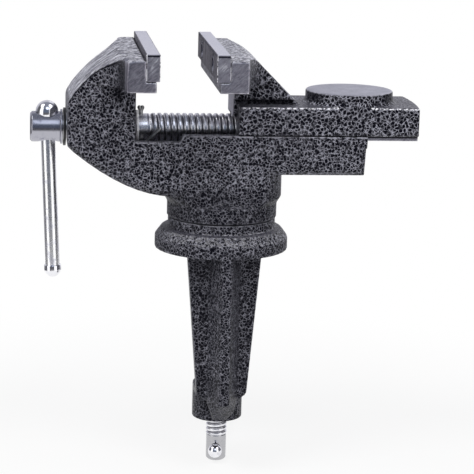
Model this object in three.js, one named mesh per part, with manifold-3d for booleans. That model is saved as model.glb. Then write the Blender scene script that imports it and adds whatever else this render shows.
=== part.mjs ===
// Clamp-on bench vise with a swivel head, a sliding jaw and a small round anvil.
// Millimetres. +X is the way the sliding jaw opens, +Y points away from the user, +Z is up.
// The origin is the centre of the swivel, on the table surface that the base stands on.
import * as THREE from 'three';
import { mergeVertices } from 'three/addons/utils/BufferGeometryUtils.js';
import Module from 'manifold-3d';

const wasm = await Module();
wasm.setup();

// Fits and mesh fineness
const seat = 0.3;
const running = 0.6;
const overrun = 2;
const roundSides = 40;
const smallSides = 20;
const ballSides = 20;
const threadSides = 12;
const wireSides = 10;
const hexSides = 6;
const curveSteps = 8;

// Jaws, alike on both sides
const jawWidth = 90;
const jawOpening = 24;
const jawRise = 35.8;
const jawBlockHeight = 13.6;
const jawBlockDepth = 12.6;
const ledgeSetback = 1.4;
const flareWidth = 82;
const flareNeck = 4;
const flareReach = 16;
const plateThickness = 5.7;
const plateHeight = 11.6;
const plateProud = 2.8;
const toothPitch = 2.5;
const toothDepth = 0.5;
const plateScrewSpacing = 50;
const plateScrewHead = 7.6;
const plateScrewShank = 4;
const plateScrewLength = 11.5;
const plateScrewSunk = 0.8;
const screwSlot = 1;

// Base: round foot, leg with its rib, and the boss of the clamp screw
const baseRadius = 30;
const baseRim = 5.5;
const baseShoulder = 9.4;
const baseHeight = 14.2;
const baseRingRadius = 24.2;
const socketFloor = 3.5;
const tableThickness = 17;
const legSetback = 12;
const legPlate = 6.5;
const legTopWidth = 33;
const legEndWidth = 22.6;
const legDrop = 66.5;
const legCorner = 2.6;
const ribDepth = 11.5;
const ribRootWidth = 14.3;
const ribFrontWidth = 4.2;
const bossRadius = 11.4;
const bossLength = 16.4;
const bossDrop = 79.6;
const ribTipWidth = 6;
const ribTipRise = 1.6;

// Swivel lock screw, from the rear of the foot
const lockPadWidth = 13;
const lockPadHeight = 12.2;
const lockPadProud = 0.6;
const lockHeight = 7.2;
const lockDiameter = 6;
const lockPoint = 3.6;
const lockPointLength = 4;
const lockHead = 10;
const lockHeadHeight = 4.4;
const lockGroove = 1.6;

// Head: spigot, flange, neck, bed and the fixed jaw's upright
const spigotRadius = 13;
const flangeRadius = 24.7;
const flangeRim = 6.8;
const flangeTopRise = 2.6;
const flangeTopRun = 6;
const neckRadius = 26.6;
const neckFlare = 3;
const bodyWidth = 40;
const bodyReach = 70;
const gripReach = 32;
const throatSetback = 8.5;
const bedReach = 62.2;
const bedDraft = 0.9;
const bedHeight = 17.4;
const bedTop = 53.4;
const edgeChamfer = 2.2;
const reliefDepth = 2.9;
const reliefLength = 19.5;
const reliefSlope = 1.4;
const slotWidth = 28;
const slotDepth = 11.2;
const lipThickness = 5.6;
const lipOverhang = 2.5;
const noseHeight = 6;
const noseChin = 2.6;
const borePadRadius = 8.8;
const borePadHeight = 0.8;
const shoulderRun = 3.9;
const shoulderDrop = 2.2;
const slopeDrop = 14.3;
const napeRun = 4;
const napeDrop = 6.6;
const gooseBendShare = 1.62;
const gooseFootShare = 0.9;
const gooseFootRise = 4.8;

// Sliding jaw casting with its anvil
const slideHeight = 12.7;
const slideLength = 81.2;
const slideSetback = 12.8;
const slideChamfer = 0.7;
const tongueDepth = 2.8;
const tongueSetback = 0.3;
const slideBulge = 1.2;
const webSetback = 10.9;
const webWidth = 26;
const webPlinth = 2.3;
const webPlinthWidth = 22;
const webFoot = 25;
const webCrest = 7.4;
const webShoulder = 9;
const webShoulderDrop = 5.2;
const anvilRadius = 19.6;
const anvilHeight = 5.6;
const anvilFillet = 1.4;
const anvilChamfer = 0.5;
const anvilFromEnd = 29.8;

// Spindle with its washers and split pin
const screwRise = 0.8;
const screwRadius = 6.4;
const screwRoot = 5.2;
const screwPitch = 2.8;
const shankRadius = 6.1;
const barrelRadius = 6.75;
const barrelLength = 13.2;
const barrelChamfer = 0.7;
const collarRadius = 7.7;
const collarLength = 1;
const thrustRadius = 8.4;
const thrustThickness = 1.2;
const retainerRadius = 7.6;
const retainerThickness = 1.2;
const plainLength = 7;
const threadLength = 88.5;
const pinRadius = 0.85;
const prongRadius = 0.68;
const pinOffset = 3.4;
const pinProngLength = 2.6;
const pinProngSpread = 28;
const pinLegRise = 8;
const pinLegRun = 8.6;
const pinLegSide = 8.4;

// Nut under the sliding jaw and its screws
const nutLength = 18;
const nutInset = 3.4;
const nutWidth = 17;
const nutHeadRise = 8.8;
const nutScrewRadius = 1.75;
const nutScrewHeadRadius = 3.1;
const nutScrewHeadHeight = 2;
const nutScrewReach = 14.5;
const nutScrewSpacing = 9;
const nutScrewSide = 11.3;

// Handle of the spindle
const barRadius = 3.15;
const barHole = 3.45;
const barOffset = 1.1;
const barLean = 2.35;
const ballRadius = 5;
const ballSunk = 0.1;
const barDrop = 62.6;
const capRadius = 3.75;
const capLength = 2.9;
const capCone = 2.6;
const capFlat = 1.6;
const capSocket = 2;
const capPegRadius = 2.2;

// Clamp screw, its pad and its handle
const clampRadius = 4.8;
const clampRoot = 3.9;
const clampPitch = 2.1;
const clampHead = 12;
const clampReach = 20.8;
const clampHoleHeight = 5.9;
const clampChamfer = 0.8;
const clampTip = 3;
const padRadius = 10;
const padRim = 2.2;
const padHeight = 6.4;
const padNeck = 6.2;
const padSocket = 4;
const clampBarRadius = 2.1;
const clampBarHole = 2.5;
const clampBallRadius = 3.2;
const clampBarLength = 58;
const clampTurn = 9;

// Places worked out from the sizes above
const degree = Math.PI / 180;
const bodyHalf = bodyWidth / 2;
const jawHalf = jawWidth / 2;
const flangeBottom = baseHeight + seat;
const flangeShoulder = flangeBottom + flangeRim;
const bedUnder = bedTop - bedHeight;
const screwAxis = bedTop + screwRise;
const jawTop = bedTop + jawRise;
const jawBottom = jawTop - jawBlockHeight;
const plateTop = jawTop + plateProud;
const plateBottom = plateTop - plateHeight;
const plateMiddle = (plateTop + plateBottom) / 2;
const fixedGrip = -gripReach;
const uprightFace = fixedGrip - throatSetback;
const padFace = uprightFace + borePadHeight;
const movingGrip = fixedGrip + jawOpening;
const slideBottom = bedTop + seat;
const slideTop = slideBottom + slideHeight;
const slideFront = movingGrip + slideSetback;
const slideEnd = slideFront + slideLength;
const webFront = movingGrip + webSetback;
const slotFloor = bedTop - slotDepth;
const lipBottom = bedTop - lipThickness;
const anvilX = slideEnd - anvilFromEnd;
const threadStart = uprightFace + plainLength;
const spindleTip = threadStart + threadLength;
const channelRadius = screwRadius + running + seat;
const channelEnd = spindleTip + jawOpening + running;
const nutStart = slideFront + nutInset;
const nutTop = screwAxis + nutHeadRise;
const barrelTip = -bodyReach - seat - thrustThickness - seat - collarLength;
const barX = barrelTip - barrelLength / 2 + barOffset;
const ballZ = screwAxis + barrelRadius - ballSunk;
const capTop = screwAxis - barDrop;
const legBack = -legSetback;
const legFront = legBack - legPlate;
const lockPadReach = baseRadius + lockPadProud;
const bossTop = bossDrop - bossLength;
const clampDrop = bossDrop + clampReach;
const clampHoleZ = clampHoleHeight - clampDrop;
const clampBallReach = clampRadius + clampBallRadius - seat;

const paint = { color: 0x37363d, roughness: 0.35, metalness: 0.3 };
const ground = { color: 0xa3a3b0, roughness: 0.35, metalness: 0.9 };
const zinc = { color: 0xc3c6cc, roughness: 0.25, metalness: 1 };
const blackSteel = { color: 0x2a2a2c, roughness: 0.5, metalness: 0.8 };
const castIron = { color: 0x6f6f73, roughness: 0.55, metalness: 0.8 };

const vise = new THREE.Group();

// Shape helpers

function solidFrom(geometry) {
  geometry.deleteAttribute('normal');
  geometry.deleteAttribute('uv');
  const merged = mergeVertices(geometry);
  const corners = merged.index.array;
  const kept = [];
  for (let i = 0; i < corners.length; i += 3) {
    const [a, b, c] = corners.slice(i, i + 3);
    if (a !== b && b !== c && c !== a) kept.push(a, b, c);
  }
  return new wasm.Manifold(new wasm.Mesh({
    numProp: 3,
    vertProperties: new Float32Array(merged.attributes.position.array),
    triVerts: new Uint32Array(kept),
  }));
}

function addPiece(name, solid, look) {
  const mesh = solid.getMesh();
  const geometry = new THREE.BufferGeometry();
  geometry.setAttribute('position', new THREE.BufferAttribute(mesh.vertProperties, 3));
  geometry.setIndex(new THREE.BufferAttribute(mesh.triVerts, 1));
  geometry.computeVertexNormals();
  const piece = new THREE.Mesh(geometry, new THREE.MeshStandardMaterial(look));
  piece.name = name;
  vise.add(piece);
}

function sortedPair(a, b) {
  return [Math.min(a, b), Math.max(a, b)];
}

function outline(points) {
  return new THREE.Shape(points.map(([x, y]) => new THREE.Vector2(x, y)));
}

// An outline in X and Z swept across the middle plane, its side edges chamfered if asked
function acrossY(shape, width, chamfer = 0) {
  const geometry = new THREE.ExtrudeGeometry(shape, {
    depth: width - 2 * chamfer,
    bevelEnabled: chamfer > 0,
    bevelThickness: chamfer,
    bevelSize: chamfer,
    bevelOffset: -chamfer,
    bevelSegments: 1,
    curveSegments: curveSteps,
  });
  geometry.rotateX(Math.PI / 2);
  geometry.translate(0, width / 2 - chamfer, 0);
  return solidFrom(geometry);
}

// An outline in Y and Z swept across the plane X = 0
function acrossX(shape, width) {
  const geometry = new THREE.ExtrudeGeometry(shape, { depth: width, bevelEnabled: false });
  const turn = new THREE.Matrix4().set(0, 0, 1, 0, 1, 0, 0, 0, 0, 1, 0, 0, 0, 0, 0, 1);
  geometry.applyMatrix4(turn);
  geometry.translate(-width / 2, 0, 0);
  return solidFrom(geometry);
}

// An outline in X and Y raised from one height to another
function upwards(shape, from, to) {
  const geometry = new THREE.ExtrudeGeometry(shape, {
    depth: to - from, bevelEnabled: false, curveSegments: curveSteps,
  });
  geometry.translate(0, 0, from);
  return solidFrom(geometry);
}

function block(x0, x1, y0, y1, z0, z1) {
  const geometry = new THREE.BoxGeometry(x1 - x0, y1 - y0, z1 - z0);
  geometry.translate((x0 + x1) / 2, (y0 + y1) / 2, (z0 + z1) / 2);
  return solidFrom(geometry);
}

// A profile of [radius, place] pairs turned about the X, Y or Z axis
function turned(profile, axis, sides = roundSides) {
  const points = profile.map(([radius, place]) => new THREE.Vector2(radius, place));
  const geometry = new THREE.LatheGeometry(points, sides);
  if (axis === 'z') geometry.rotateX(Math.PI / 2);
  if (axis === 'x') geometry.rotateZ(-Math.PI / 2);
  return solidFrom(geometry);
}

function rod(radius, from, to, axis, sides = smallSides) {
  return turned([[0, from], [radius, from], [radius, to], [0, to]], axis, sides);
}

function ring(outer, inner, from, to, axis) {
  const profile = [[inner, from], [outer, from], [outer, to], [inner, to], [inner, from]];
  return turned(profile, axis, roundSides);
}

function ball(radius, sides = ballSides) {
  return solidFrom(new THREE.SphereGeometry(radius, sides, sides / 2));
}

// A solid built about the X axis, moved up to the spindle's
function onScrew(solid) {
  return solid.translate([0, 0, screwAxis]);
}

// A screw thread along Z: one skin wound round the axis, closed by a fan at each end.
// Each step of the winding has the four corners of the ridge, and the root joins turn to turn.
function threaded(crest, root, pitch, from, to) {
  const crestShare = 0.16;
  const rootShare = 0.36;
  const section = [
    [root, -pitch * rootShare], [crest, -pitch * crestShare],
    [crest, pitch * crestShare], [root, pitch * rootShare],
  ];
  const count = section.length;
  const turns = Math.floor((to - from) / pitch) - 1;
  const steps = turns * threadSides;
  const start = (from + to - turns * pitch) / 2;
  const places = [0, 0, from, 0, 0, to];
  for (let step = 0; step <= steps; step += 1) {
    const angle = (step * 2 * Math.PI) / threadSides;
    const height = start + (step * pitch) / threadSides;
    for (const [radius, along] of section) {
      places.push(radius * Math.cos(angle), radius * Math.sin(angle), height + along);
    }
  }
  const corner = (step, index) => 2 + step * count + index;
  const faces = [];
  for (let step = 0; step < steps; step += 1) {
    for (let index = 0; index < count - 1; index += 1) {
      const a = corner(step, index);
      const b = corner(step + 1, index);
      faces.push(a, b, a + 1, a + 1, b, b + 1);
    }
  }
  for (let step = 0; step < steps - threadSides; step += 1) {
    const a = corner(step, count - 1);
    const b = corner(step + threadSides, 0);
    faces.push(a, a + count, b, b, a + count, b + count);
  }
  const lower = [corner(0, 3), corner(0, 2), corner(0, 1)];
  for (let step = 0; step <= threadSides; step += 1) lower.push(corner(step, 0));
  const upper = [corner(steps, 0), corner(steps, 1), corner(steps, 2)];
  for (let step = 0; step <= threadSides; step += 1) upper.push(corner(steps - step, 3));
  for (let i = 0; i < lower.length; i += 1) {
    faces.push(0, lower[(i + 1) % lower.length], lower[i]);
    faces.push(1, upper[(i + 1) % upper.length], upper[i]);
  }
  const skin = new THREE.BufferGeometry();
  skin.setAttribute('position', new THREE.Float32BufferAttribute(places, 3));
  skin.setIndex(faces);
  return solidFrom(skin);
}

// A round bar from one point to another
function barBetween(start, end, radius) {
  const from = new THREE.Vector3(...start);
  const to = new THREE.Vector3(...end);
  const path = new THREE.LineCurve3(from, to);
  const circle = new THREE.Shape().absarc(0, 0, radius, 0, 2 * Math.PI);
  return solidFrom(new THREE.ExtrudeGeometry(circle, {
    extrudePath: path, steps: 1, bevelEnabled: false, curveSegments: wireSides,
  }));
}

// Base: foot, leg, rib and boss in one casting

function baseCasting() {
  const coneRadius = (baseRadius + baseRingRadius) / 2;
  const foot = turned([
    [0, 0], [baseRadius, 0], [baseRadius, baseRim], [coneRadius, baseShoulder],
    [baseRingRadius, baseShoulder + running], [baseRingRadius, baseHeight], [0, baseHeight],
  ], 'z');
  const inFoot = baseRim / 2;
  const topHalf = legTopWidth / 2;
  const endHalf = legEndWidth / 2;
  const plate = acrossY(outline([
    [-topHalf, inFoot], [-topHalf, 0],
    [-endHalf, legCorner - legDrop], [legCorner - endHalf, -legDrop],
    [endHalf - legCorner, -legDrop], [endHalf, legCorner - legDrop],
    [topHalf, 0], [topHalf, inFoot],
  ]), legPlate).translate([0, (legBack + legFront) / 2, 0]);
  const ribFront = legFront - ribDepth;
  const rootHalf = ribRootWidth / 2;
  const frontHalf = ribFrontWidth / 2;
  const ribPlan = upwards(outline([
    [-rootHalf, legBack], [-rootHalf, legFront], [-frontHalf, ribFront],
    [frontHalf, ribFront], [rootHalf, legFront], [rootHalf, legBack],
  ]), -bossDrop, inFoot);
  const ribSide = acrossX(outline([
    [0, inFoot], [ribFront, inFoot], [ribFront, -legDrop], [-bossRadius, -bossDrop],
    [0, -bossDrop],
  ]), ribRootWidth + overrun);
  const tipHalf = ribTipWidth / 2;
  const ribFace = acrossY(outline([
    [-rootHalf, inFoot], [-rootHalf, -legDrop], [-tipHalf, ribTipRise - bossDrop],
    [tipHalf, ribTipRise - bossDrop], [rootHalf, -legDrop], [rootHalf, inFoot],
  ]), baseRadius * 2 + bossRadius * 2);
  const boss = rod(bossRadius, -bossDrop, -bossTop, 'z', roundSides);
  const bossRoot = block(-tipHalf, tipHalf, legBack - seat, 0, ribTipRise - bossDrop, -bossTop)
    .add(block(-endHalf, endHalf, legBack - overrun, 0, -legDrop, -bossTop)
      .intersect(rod(legSetback + bossRadius, -bossDrop, -bossTop, 'z', roundSides)));
  const lockPad = block(-lockPadWidth / 2, lockPadWidth / 2, 0, lockPadReach, 0, lockPadHeight);
  const socket = rod(spigotRadius + seat, socketFloor, baseHeight + overrun, 'z', roundSides);
  const clampBore = rod(clampRadius + seat, -bossDrop - overrun, overrun - bossTop, 'z');
  const lockBore = rod(lockDiameter / 2 + seat, 0, lockPadReach + overrun, 'y')
    .translate([0, 0, lockHeight]);
  const rib = ribPlan.intersect(ribSide).intersect(ribFace);
  return foot.add(plate).add(rib).add(boss).add(bossRoot).add(lockPad)
    .subtract(socket).subtract(clampBore).subtract(lockBore);
}

function lockScrew() {
  const tip = spigotRadius - lockGroove + running;
  const shoulder = tip + lockPointLength;
  const head = lockPadReach + seat;
  const hexRadius = lockHead / 2 / Math.cos(Math.PI / hexSides);
  const screw = turned([
    [0, tip], [lockPoint / 2, tip], [lockPoint / 2, shoulder], [lockDiameter / 2, shoulder],
    [lockDiameter / 2, head + seat], [0, head + seat],
  ], 'y', smallSides);
  const hex = rod(hexRadius, head, head + lockHeadHeight, 'y', hexSides);
  return screw.add(hex).translate([0, 0, lockHeight]);
}

// Outlines of the two castings, seen from the front

function headSide() {
  const noseX = -bodyReach;
  const shoulderX = fixedGrip - ledgeSetback - jawBlockDepth - seat;
  const slopeTopX = shoulderX - shoulderRun;
  const slopeTopZ = jawTop - shoulderDrop;
  const napeX = noseX + napeRun;
  const napeZ = slopeTopZ - slopeDrop;
  const slopeRun = slopeTopX - napeX;
  const crownX = slopeTopX + (shoulderDrop * slopeRun) / slopeDrop;
  const gooseFootZ = flangeShoulder + gooseFootRise;
  const side = new THREE.Shape();
  side.moveTo(neckRadius / 2, bedUnder);
  side.lineTo(bedReach - bedDraft, bedUnder);
  side.lineTo(bedReach, bedTop);
  side.lineTo(uprightFace + reliefLength + reliefSlope, bedTop);
  side.lineTo(uprightFace + reliefLength, bedTop - reliefDepth);
  side.lineTo(uprightFace, bedTop - reliefDepth);
  side.lineTo(uprightFace, jawTop);
  side.lineTo(shoulderX, jawTop);
  side.quadraticCurveTo(crownX, jawTop, slopeTopX, slopeTopZ);
  side.lineTo(napeX, napeZ);
  side.quadraticCurveTo(noseX, napeZ - (napeRun * slopeDrop) / slopeRun, noseX, napeZ - napeDrop);
  side.lineTo(noseX, screwAxis - noseHeight);
  side.lineTo(noseX + noseChin, screwAxis - noseHeight - noseChin);
  side.quadraticCurveTo(
    -neckRadius * gooseBendShare, gooseFootZ, -neckRadius * gooseFootShare, gooseFootZ);
  side.lineTo(neckRadius / 2, gooseFootZ);
  return side;
}

function webSide() {
  const side = new THREE.Shape();
  const foot = screwAxis + screwRadius;
  const top = webFront + webCrest;
  side.moveTo(webFront, foot);
  side.lineTo(webFront, jawTop);
  side.lineTo(top - webShoulder / 2, jawTop);
  side.quadraticCurveTo(top, jawTop, top + webShoulder / 2, jawTop - webShoulderDrop);
  side.lineTo(webFront + webFoot + webShoulder / 2, slideTop);
  side.lineTo(webFront + webFoot + webShoulder / 2, foot);
  return side;
}

// The block that carries a jaw plate, running back into its casting as a flare.
// It faces -X or +X, and has a step that the plate stands on.
function jawBlock(grip, away, flareEndWidth, sideShape) {
  const ledge = grip + away * ledgeSetback;
  const back = ledge + away * jawBlockDepth;
  const flareEnd = back + away * flareReach;
  const [x0, x1] = sortedPair(ledge, back);
  const plan = new THREE.Shape();
  plan.moveTo(ledge, -flareWidth / 2);
  plan.lineTo(back, -flareWidth / 2);
  plan.quadraticCurveTo(back + away * flareNeck, -flareEndWidth / 2, flareEnd, -flareEndWidth / 2);
  plan.lineTo(flareEnd, flareEndWidth / 2);
  plan.quadraticCurveTo(back + away * flareNeck, flareEndWidth / 2, back, flareWidth / 2);
  plan.lineTo(ledge, flareWidth / 2);
  const flare = upwards(plan, jawBottom, jawTop).intersect(acrossY(sideShape, jawWidth + overrun));
  return block(x0, x1, -jawHalf, jawHalf, jawBottom, jawTop).add(flare);
}

// The room that a jaw plate and its screws need in the casting behind them
function plateRoom(grip, away) {
  const [s0, s1] = sortedPair(grip - away * overrun, grip + away * (plateThickness + seat));
  const deep = grip + away * (plateScrewSunk + plateScrewLength + running);
  const [b0, b1] = sortedPair(grip - away * overrun, deep);
  const hole = rod(plateScrewShank / 2 + seat, b0, b1, 'x');
  return block(s0, s1, -jawHalf - overrun, jawHalf + overrun, plateBottom - seat, plateTop + overrun)
    .add(hole.translate([0, -plateScrewSpacing / 2, plateMiddle]))
    .add(hole.translate([0, plateScrewSpacing / 2, plateMiddle]));
}

// Head: everything that turns on the base and stays in line with the spindle

function headCasting() {
  const grooveBottom = lockHeight - lockPoint / 2 - seat;
  const grooveTop = lockHeight + lockPoint / 2 + seat;
  const spigotBottom = socketFloor + seat;
  const flange = turned([
    [0, spigotBottom], [spigotRadius, spigotBottom], [spigotRadius, grooveBottom],
    [spigotRadius - lockGroove, grooveBottom], [spigotRadius - lockGroove, grooveTop],
    [spigotRadius, grooveTop], [spigotRadius, flangeBottom], [flangeRadius, flangeBottom],
    [flangeRadius, flangeShoulder], [flangeRadius - flangeTopRun, flangeShoulder + flangeTopRise],
    [0, flangeShoulder + flangeTopRise],
  ], 'z');
  const neck = turned([
    [0, flangeShoulder], [flangeRadius, flangeShoulder], [neckRadius, flangeShoulder + neckFlare],
    [neckRadius, bedUnder + overrun], [0, bedUnder + overrun],
  ], 'z').intersect(block(-neckRadius, neckRadius, -bodyHalf, bodyHalf, 0, bedTop));
  const side = headSide();
  const upper = acrossY(side, bodyWidth)
    .intersect(block(-bodyReach, bedReach, -bodyHalf, bodyHalf, screwAxis - noseHeight, jawTop));
  const jaw = jawBlock(fixedGrip, -1, bodyWidth, side);
  const slot = block(uprightFace, bedReach + overrun, -slotWidth / 2, slotWidth / 2,
    lipBottom - overrun, screwAxis + screwRadius);
  const slotFoot = block(uprightFace, bedReach + overrun, -slotWidth / 2 - lipOverhang,
    slotWidth / 2 + lipOverhang, slotFloor, lipBottom);
  const bore = onScrew(
    rod(shankRadius + running, -bodyReach - overrun, uprightFace + overrun, 'x', roundSides));
  const borePad = onScrew(
    rod(borePadRadius, uprightFace - overrun, padFace, 'x', roundSides));
  return acrossY(side, bodyWidth, edgeChamfer).add(upper).add(jaw).add(neck).add(flange)
    .subtract(slot).subtract(slotFoot).add(borePad).subtract(bore)
    .subtract(plateRoom(fixedGrip, -1));
}

// Sliding jaw: slide block with the anvil, tongue, spindle channel, web and jaw block

function slidingJaw() {
  const bulgeStart = slideEnd - slideBulge;
  const plan = new THREE.Shape();
  plan.moveTo(slideFront, -bodyHalf);
  plan.lineTo(bulgeStart, -bodyHalf);
  plan.quadraticCurveTo(slideEnd + slideBulge, 0, bulgeStart, bodyHalf);
  plan.lineTo(slideFront, bodyHalf);
  const slide = acrossY(outline([
    [slideFront, slideBottom], [slideEnd, slideBottom], [slideEnd, slideTop],
    [slideFront, slideTop],
  ]), bodyWidth, slideChamfer).intersect(upwards(plan, slideBottom, slideTop));
  const tongueHalf = slotWidth / 2 - seat;
  const tongue = block(slideFront, slideEnd - tongueSetback, -tongueHalf, tongueHalf,
    slideBottom - tongueDepth, slideBottom + overrun);
  const webStart = slideTop + webPlinth;
  const web = acrossY(webSide(), webWidth)
    .intersect(block(webFront, slideEnd, -jawHalf, jawHalf, webStart, jawTop));
  const plinth = acrossY(webSide(), webPlinthWidth)
    .intersect(block(webFront, slideEnd, -jawHalf, jawHalf, slideBottom, webStart + seat));
  const jaw = jawBlock(movingGrip, 1, webWidth, webSide());
  const anvil = turned([
    [0, slideTop - overrun], [anvilRadius + anvilFillet, slideTop - overrun],
    [anvilRadius + anvilFillet, slideTop], [anvilRadius, slideTop + anvilFillet],
    [anvilRadius, slideTop + anvilHeight - anvilChamfer],
    [anvilRadius - anvilChamfer, slideTop + anvilHeight], [0, slideTop + anvilHeight],
  ], 'z').translate([anvilX, 0, 0])
    .intersect(block(slideFront, slideEnd, -bodyHalf, bodyHalf, slideBottom + overrun, jawTop));
  const channel = onScrew(rod(channelRadius, movingGrip, channelEnd, 'x', roundSides))
    .add(block(movingGrip, channelEnd, -channelRadius, channelRadius,
      slideBottom - tongueDepth - overrun, screwAxis));
  const pocketHalf = nutWidth / 2 + seat;
  const pocket = block(nutStart - seat, nutStart + nutLength + seat, -pocketHalf, pocketHalf,
    slideBottom - tongueDepth - overrun, nutTop + seat);
  const neckPocket = block(nutStart - seat, nutStart + nutLength + seat, -bodyHalf, bodyHalf,
    slideBottom - tongueDepth - overrun, slideBottom - seat);
  let solid = slide.add(tongue).add(web).add(plinth).add(jaw).add(anvil)
    .subtract(channel).subtract(pocket).subtract(neckPocket).subtract(plateRoom(movingGrip, 1));
  for (const [x, y] of nutScrewPlaces()) {
    solid = solid.subtract(
      rod(nutScrewRadius + seat, lipBottom, nutScrewTop() + running, 'z').translate([x, y, 0]));
  }
  return solid;
}

function nutScrewPlaces() {
  const middle = nutStart + nutLength / 2;
  const places = [];
  for (const x of [middle - nutScrewSpacing / 2, middle + nutScrewSpacing / 2]) {
    for (const y of [-nutScrewSide, nutScrewSide]) places.push([x, y]);
  }
  return places;
}

function nutScrewTop() {
  return slotFloor + running + nutScrewReach;
}

function spindleNut() {
  const footBottom = slotFloor + running;
  const footHalf = slotWidth / 2 + lipOverhang - running;
  const neckHalf = slotWidth / 2 - seat;
  const foot = block(nutStart, nutStart + nutLength, -footHalf, footHalf,
    footBottom, lipBottom - seat);
  const neck = block(nutStart, nutStart + nutLength, -neckHalf, neckHalf,
    footBottom + seat, slideBottom - seat * 2);
  const head = block(nutStart, nutStart + nutLength, -nutWidth / 2, nutWidth / 2,
    footBottom + seat, nutTop);
  const bore = onScrew(rod(
    screwRadius + seat, nutStart - overrun, nutStart + nutLength + overrun, 'x', roundSides));
  let solid = foot.add(neck).add(head).subtract(bore);
  for (const [x, y] of nutScrewPlaces()) {
    solid = solid
      .subtract(rod(nutScrewRadius + seat, footBottom - overrun, jawTop, 'z').translate([x, y, 0]))
      .subtract(rod(nutScrewHeadRadius + seat, footBottom - overrun,
        footBottom + nutScrewHeadHeight + seat, 'z').translate([x, y, 0]));
  }
  return solid;
}

function addNutScrews() {
  const footBottom = slotFloor + running;
  const screw = turned([
    [0, footBottom], [nutScrewHeadRadius, footBottom],
    [nutScrewHeadRadius, footBottom + nutScrewHeadHeight],
    [nutScrewRadius, footBottom + nutScrewHeadHeight], [nutScrewRadius, nutScrewTop()],
    [0, nutScrewTop()],
  ], 'z', smallSides);
  nutScrewPlaces().forEach(([x, y], index) => {
    addPiece(`nut_screw_${index + 1}`, screw.translate([x, y, 0]), blackSteel);
  });
}

// Jaw plates, toothed on the gripping face, and their countersunk screws

function jawPlate(grip, away) {
  const back = grip + away * plateThickness;
  const points = [[back, -jawHalf], [grip, -jawHalf]];
  const teeth = Math.floor((jawWidth - toothPitch) / toothPitch);
  const first = -teeth * toothPitch / 2;
  for (let tooth = 0; tooth < teeth; tooth += 1) {
    const y = first + tooth * toothPitch;
    points.push([grip, y + toothPitch / 4], [grip + away * toothDepth, y + toothPitch / 2],
      [grip, y + toothPitch * 3 / 4]);
  }
  points.push([grip, jawHalf], [back, jawHalf]);
  let solid = upwards(outline(points), plateBottom, plateTop);
  for (const y of [-plateScrewSpacing / 2, plateScrewSpacing / 2]) {
    solid = solid.subtract(plateScrew(grip, away, seat).translate([0, y, 0]))
      .subtract(rod(plateScrewHead / 2 + seat, ...sortedPair(grip - away * overrun,
        grip + away * plateScrewSunk), 'x').translate([0, y, plateMiddle]));
  }
  return solid;
}

function plateScrew(grip, away, play) {
  const top = plateScrewSunk - play / 2;
  const head = plateScrewHead / 2 + play;
  const shank = plateScrewShank / 2 + play;
  const cone = top + plateScrewHead / 2 - plateScrewShank / 2;
  const end = plateScrewSunk + plateScrewLength + play;
  const screw = turned([[0, top], [head, top], [shank, cone + play], [shank, end], [0, end]],
    'x', smallSides);
  const facing = away > 0 ? screw : screw.rotate([0, 0, 180]);
  return facing.translate([grip, 0, plateMiddle]);
}

function addPlateScrews(name, grip, away) {
  const slotX = sortedPair(grip, grip + away * (plateScrewSunk + screwSlot));
  const head = plateScrewHead;
  const slot = block(
    ...slotX, -head, head, plateMiddle - screwSlot / 2, plateMiddle + screwSlot / 2);
  const screw = plateScrew(grip, away, 0).subtract(slot);
  for (const [place, side] of [['front', -1], ['rear', 1]]) {
    addPiece(`${name}_${place}`, screw.translate([0, (side * plateScrewSpacing) / 2, 0]), zinc);
  }
}

// Spindle, its washers and split pin

function spindle() {
  const barrelStart = barrelTip - barrelLength;
  const body = turned([
    [0, barrelStart], [barrelRadius - barrelChamfer, barrelStart],
    [barrelRadius, barrelStart + barrelChamfer], [barrelRadius, barrelTip - barrelChamfer],
    [barrelRadius - barrelChamfer, barrelTip], [collarRadius, barrelTip],
    [collarRadius, barrelTip + collarLength], [shankRadius, barrelTip + collarLength],
    [shankRadius, threadStart], [0, threadStart],
  ], 'x');
  const thread = threaded(screwRadius, screwRoot, screwPitch, threadStart - seat, spindleTip)
    .rotate([0, 90, 0]);
  const barBore = rod(barHole, screwAxis - barrelRadius * 2, screwAxis + barrelRadius * 2, 'z');
  const pinBore = rod(pinRadius + seat, -barrelRadius * 2, barrelRadius * 2, 'z')
    .translate([uprightFace + pinOffset, 0, 0]);
  return onScrew(body.add(thread).subtract(pinBore))
    .subtract(leaning(barBore.add(ball(ballRadius + seat).translate([0, 0, ballZ]))));
}

function splitPin() {
  const x = uprightFace + pinOffset;
  const fork = retainerRadius;
  const out = shankRadius + pinRadius;
  const spread = pinProngSpread * degree;
  const prongs = [-1, 1].map((side) => barBetween([x, 0, fork], [
    x + side * pinProngLength * Math.sin(spread), 0,
    fork + pinProngLength * Math.cos(spread),
  ], prongRadius));
  const bottom = [x, 0, -out];
  const knee = [x + pinRadius, -pinLegSide + pinRadius, pinRadius - out];
  const tip = [x + pinLegRun, -pinLegSide, pinLegRise - out];
  const wire = barBetween([x, 0, fork + prongRadius], bottom, pinRadius)
    .add(ball(pinRadius, wireSides).translate(bottom)).add(barBetween(bottom, knee, pinRadius))
    .add(ball(pinRadius, wireSides).translate(knee)).add(barBetween(knee, tip, pinRadius))
    .add(prongs[0]).add(prongs[1]);
  return onScrew(wire);
}

function spindleWasher(radius, start, thickness) {
  return onScrew(ring(radius, shankRadius + running, start, start + thickness, 'x'));
}

// Handle of the spindle, hanging from its ball

function leaning(solid) {
  return solid.translate([0, 0, -screwAxis]).rotate([0, -barLean, 0])
    .translate([barX, 0, screwAxis]);
}

function handleBar() {
  const bar = rod(barRadius, capTop + seat, ballZ + barRadius / 2, 'z');
  return leaning(bar.add(rod(capPegRadius, capTop - capSocket + seat, capTop + seat * 2, 'z')));
}

function handleBall() {
  const socket = rod(barRadius + seat, ballZ - ballRadius * 2, ballZ + barRadius / 2 + seat, 'z');
  return leaning(ball(ballRadius).translate([0, 0, ballZ]).subtract(socket));
}

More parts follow.
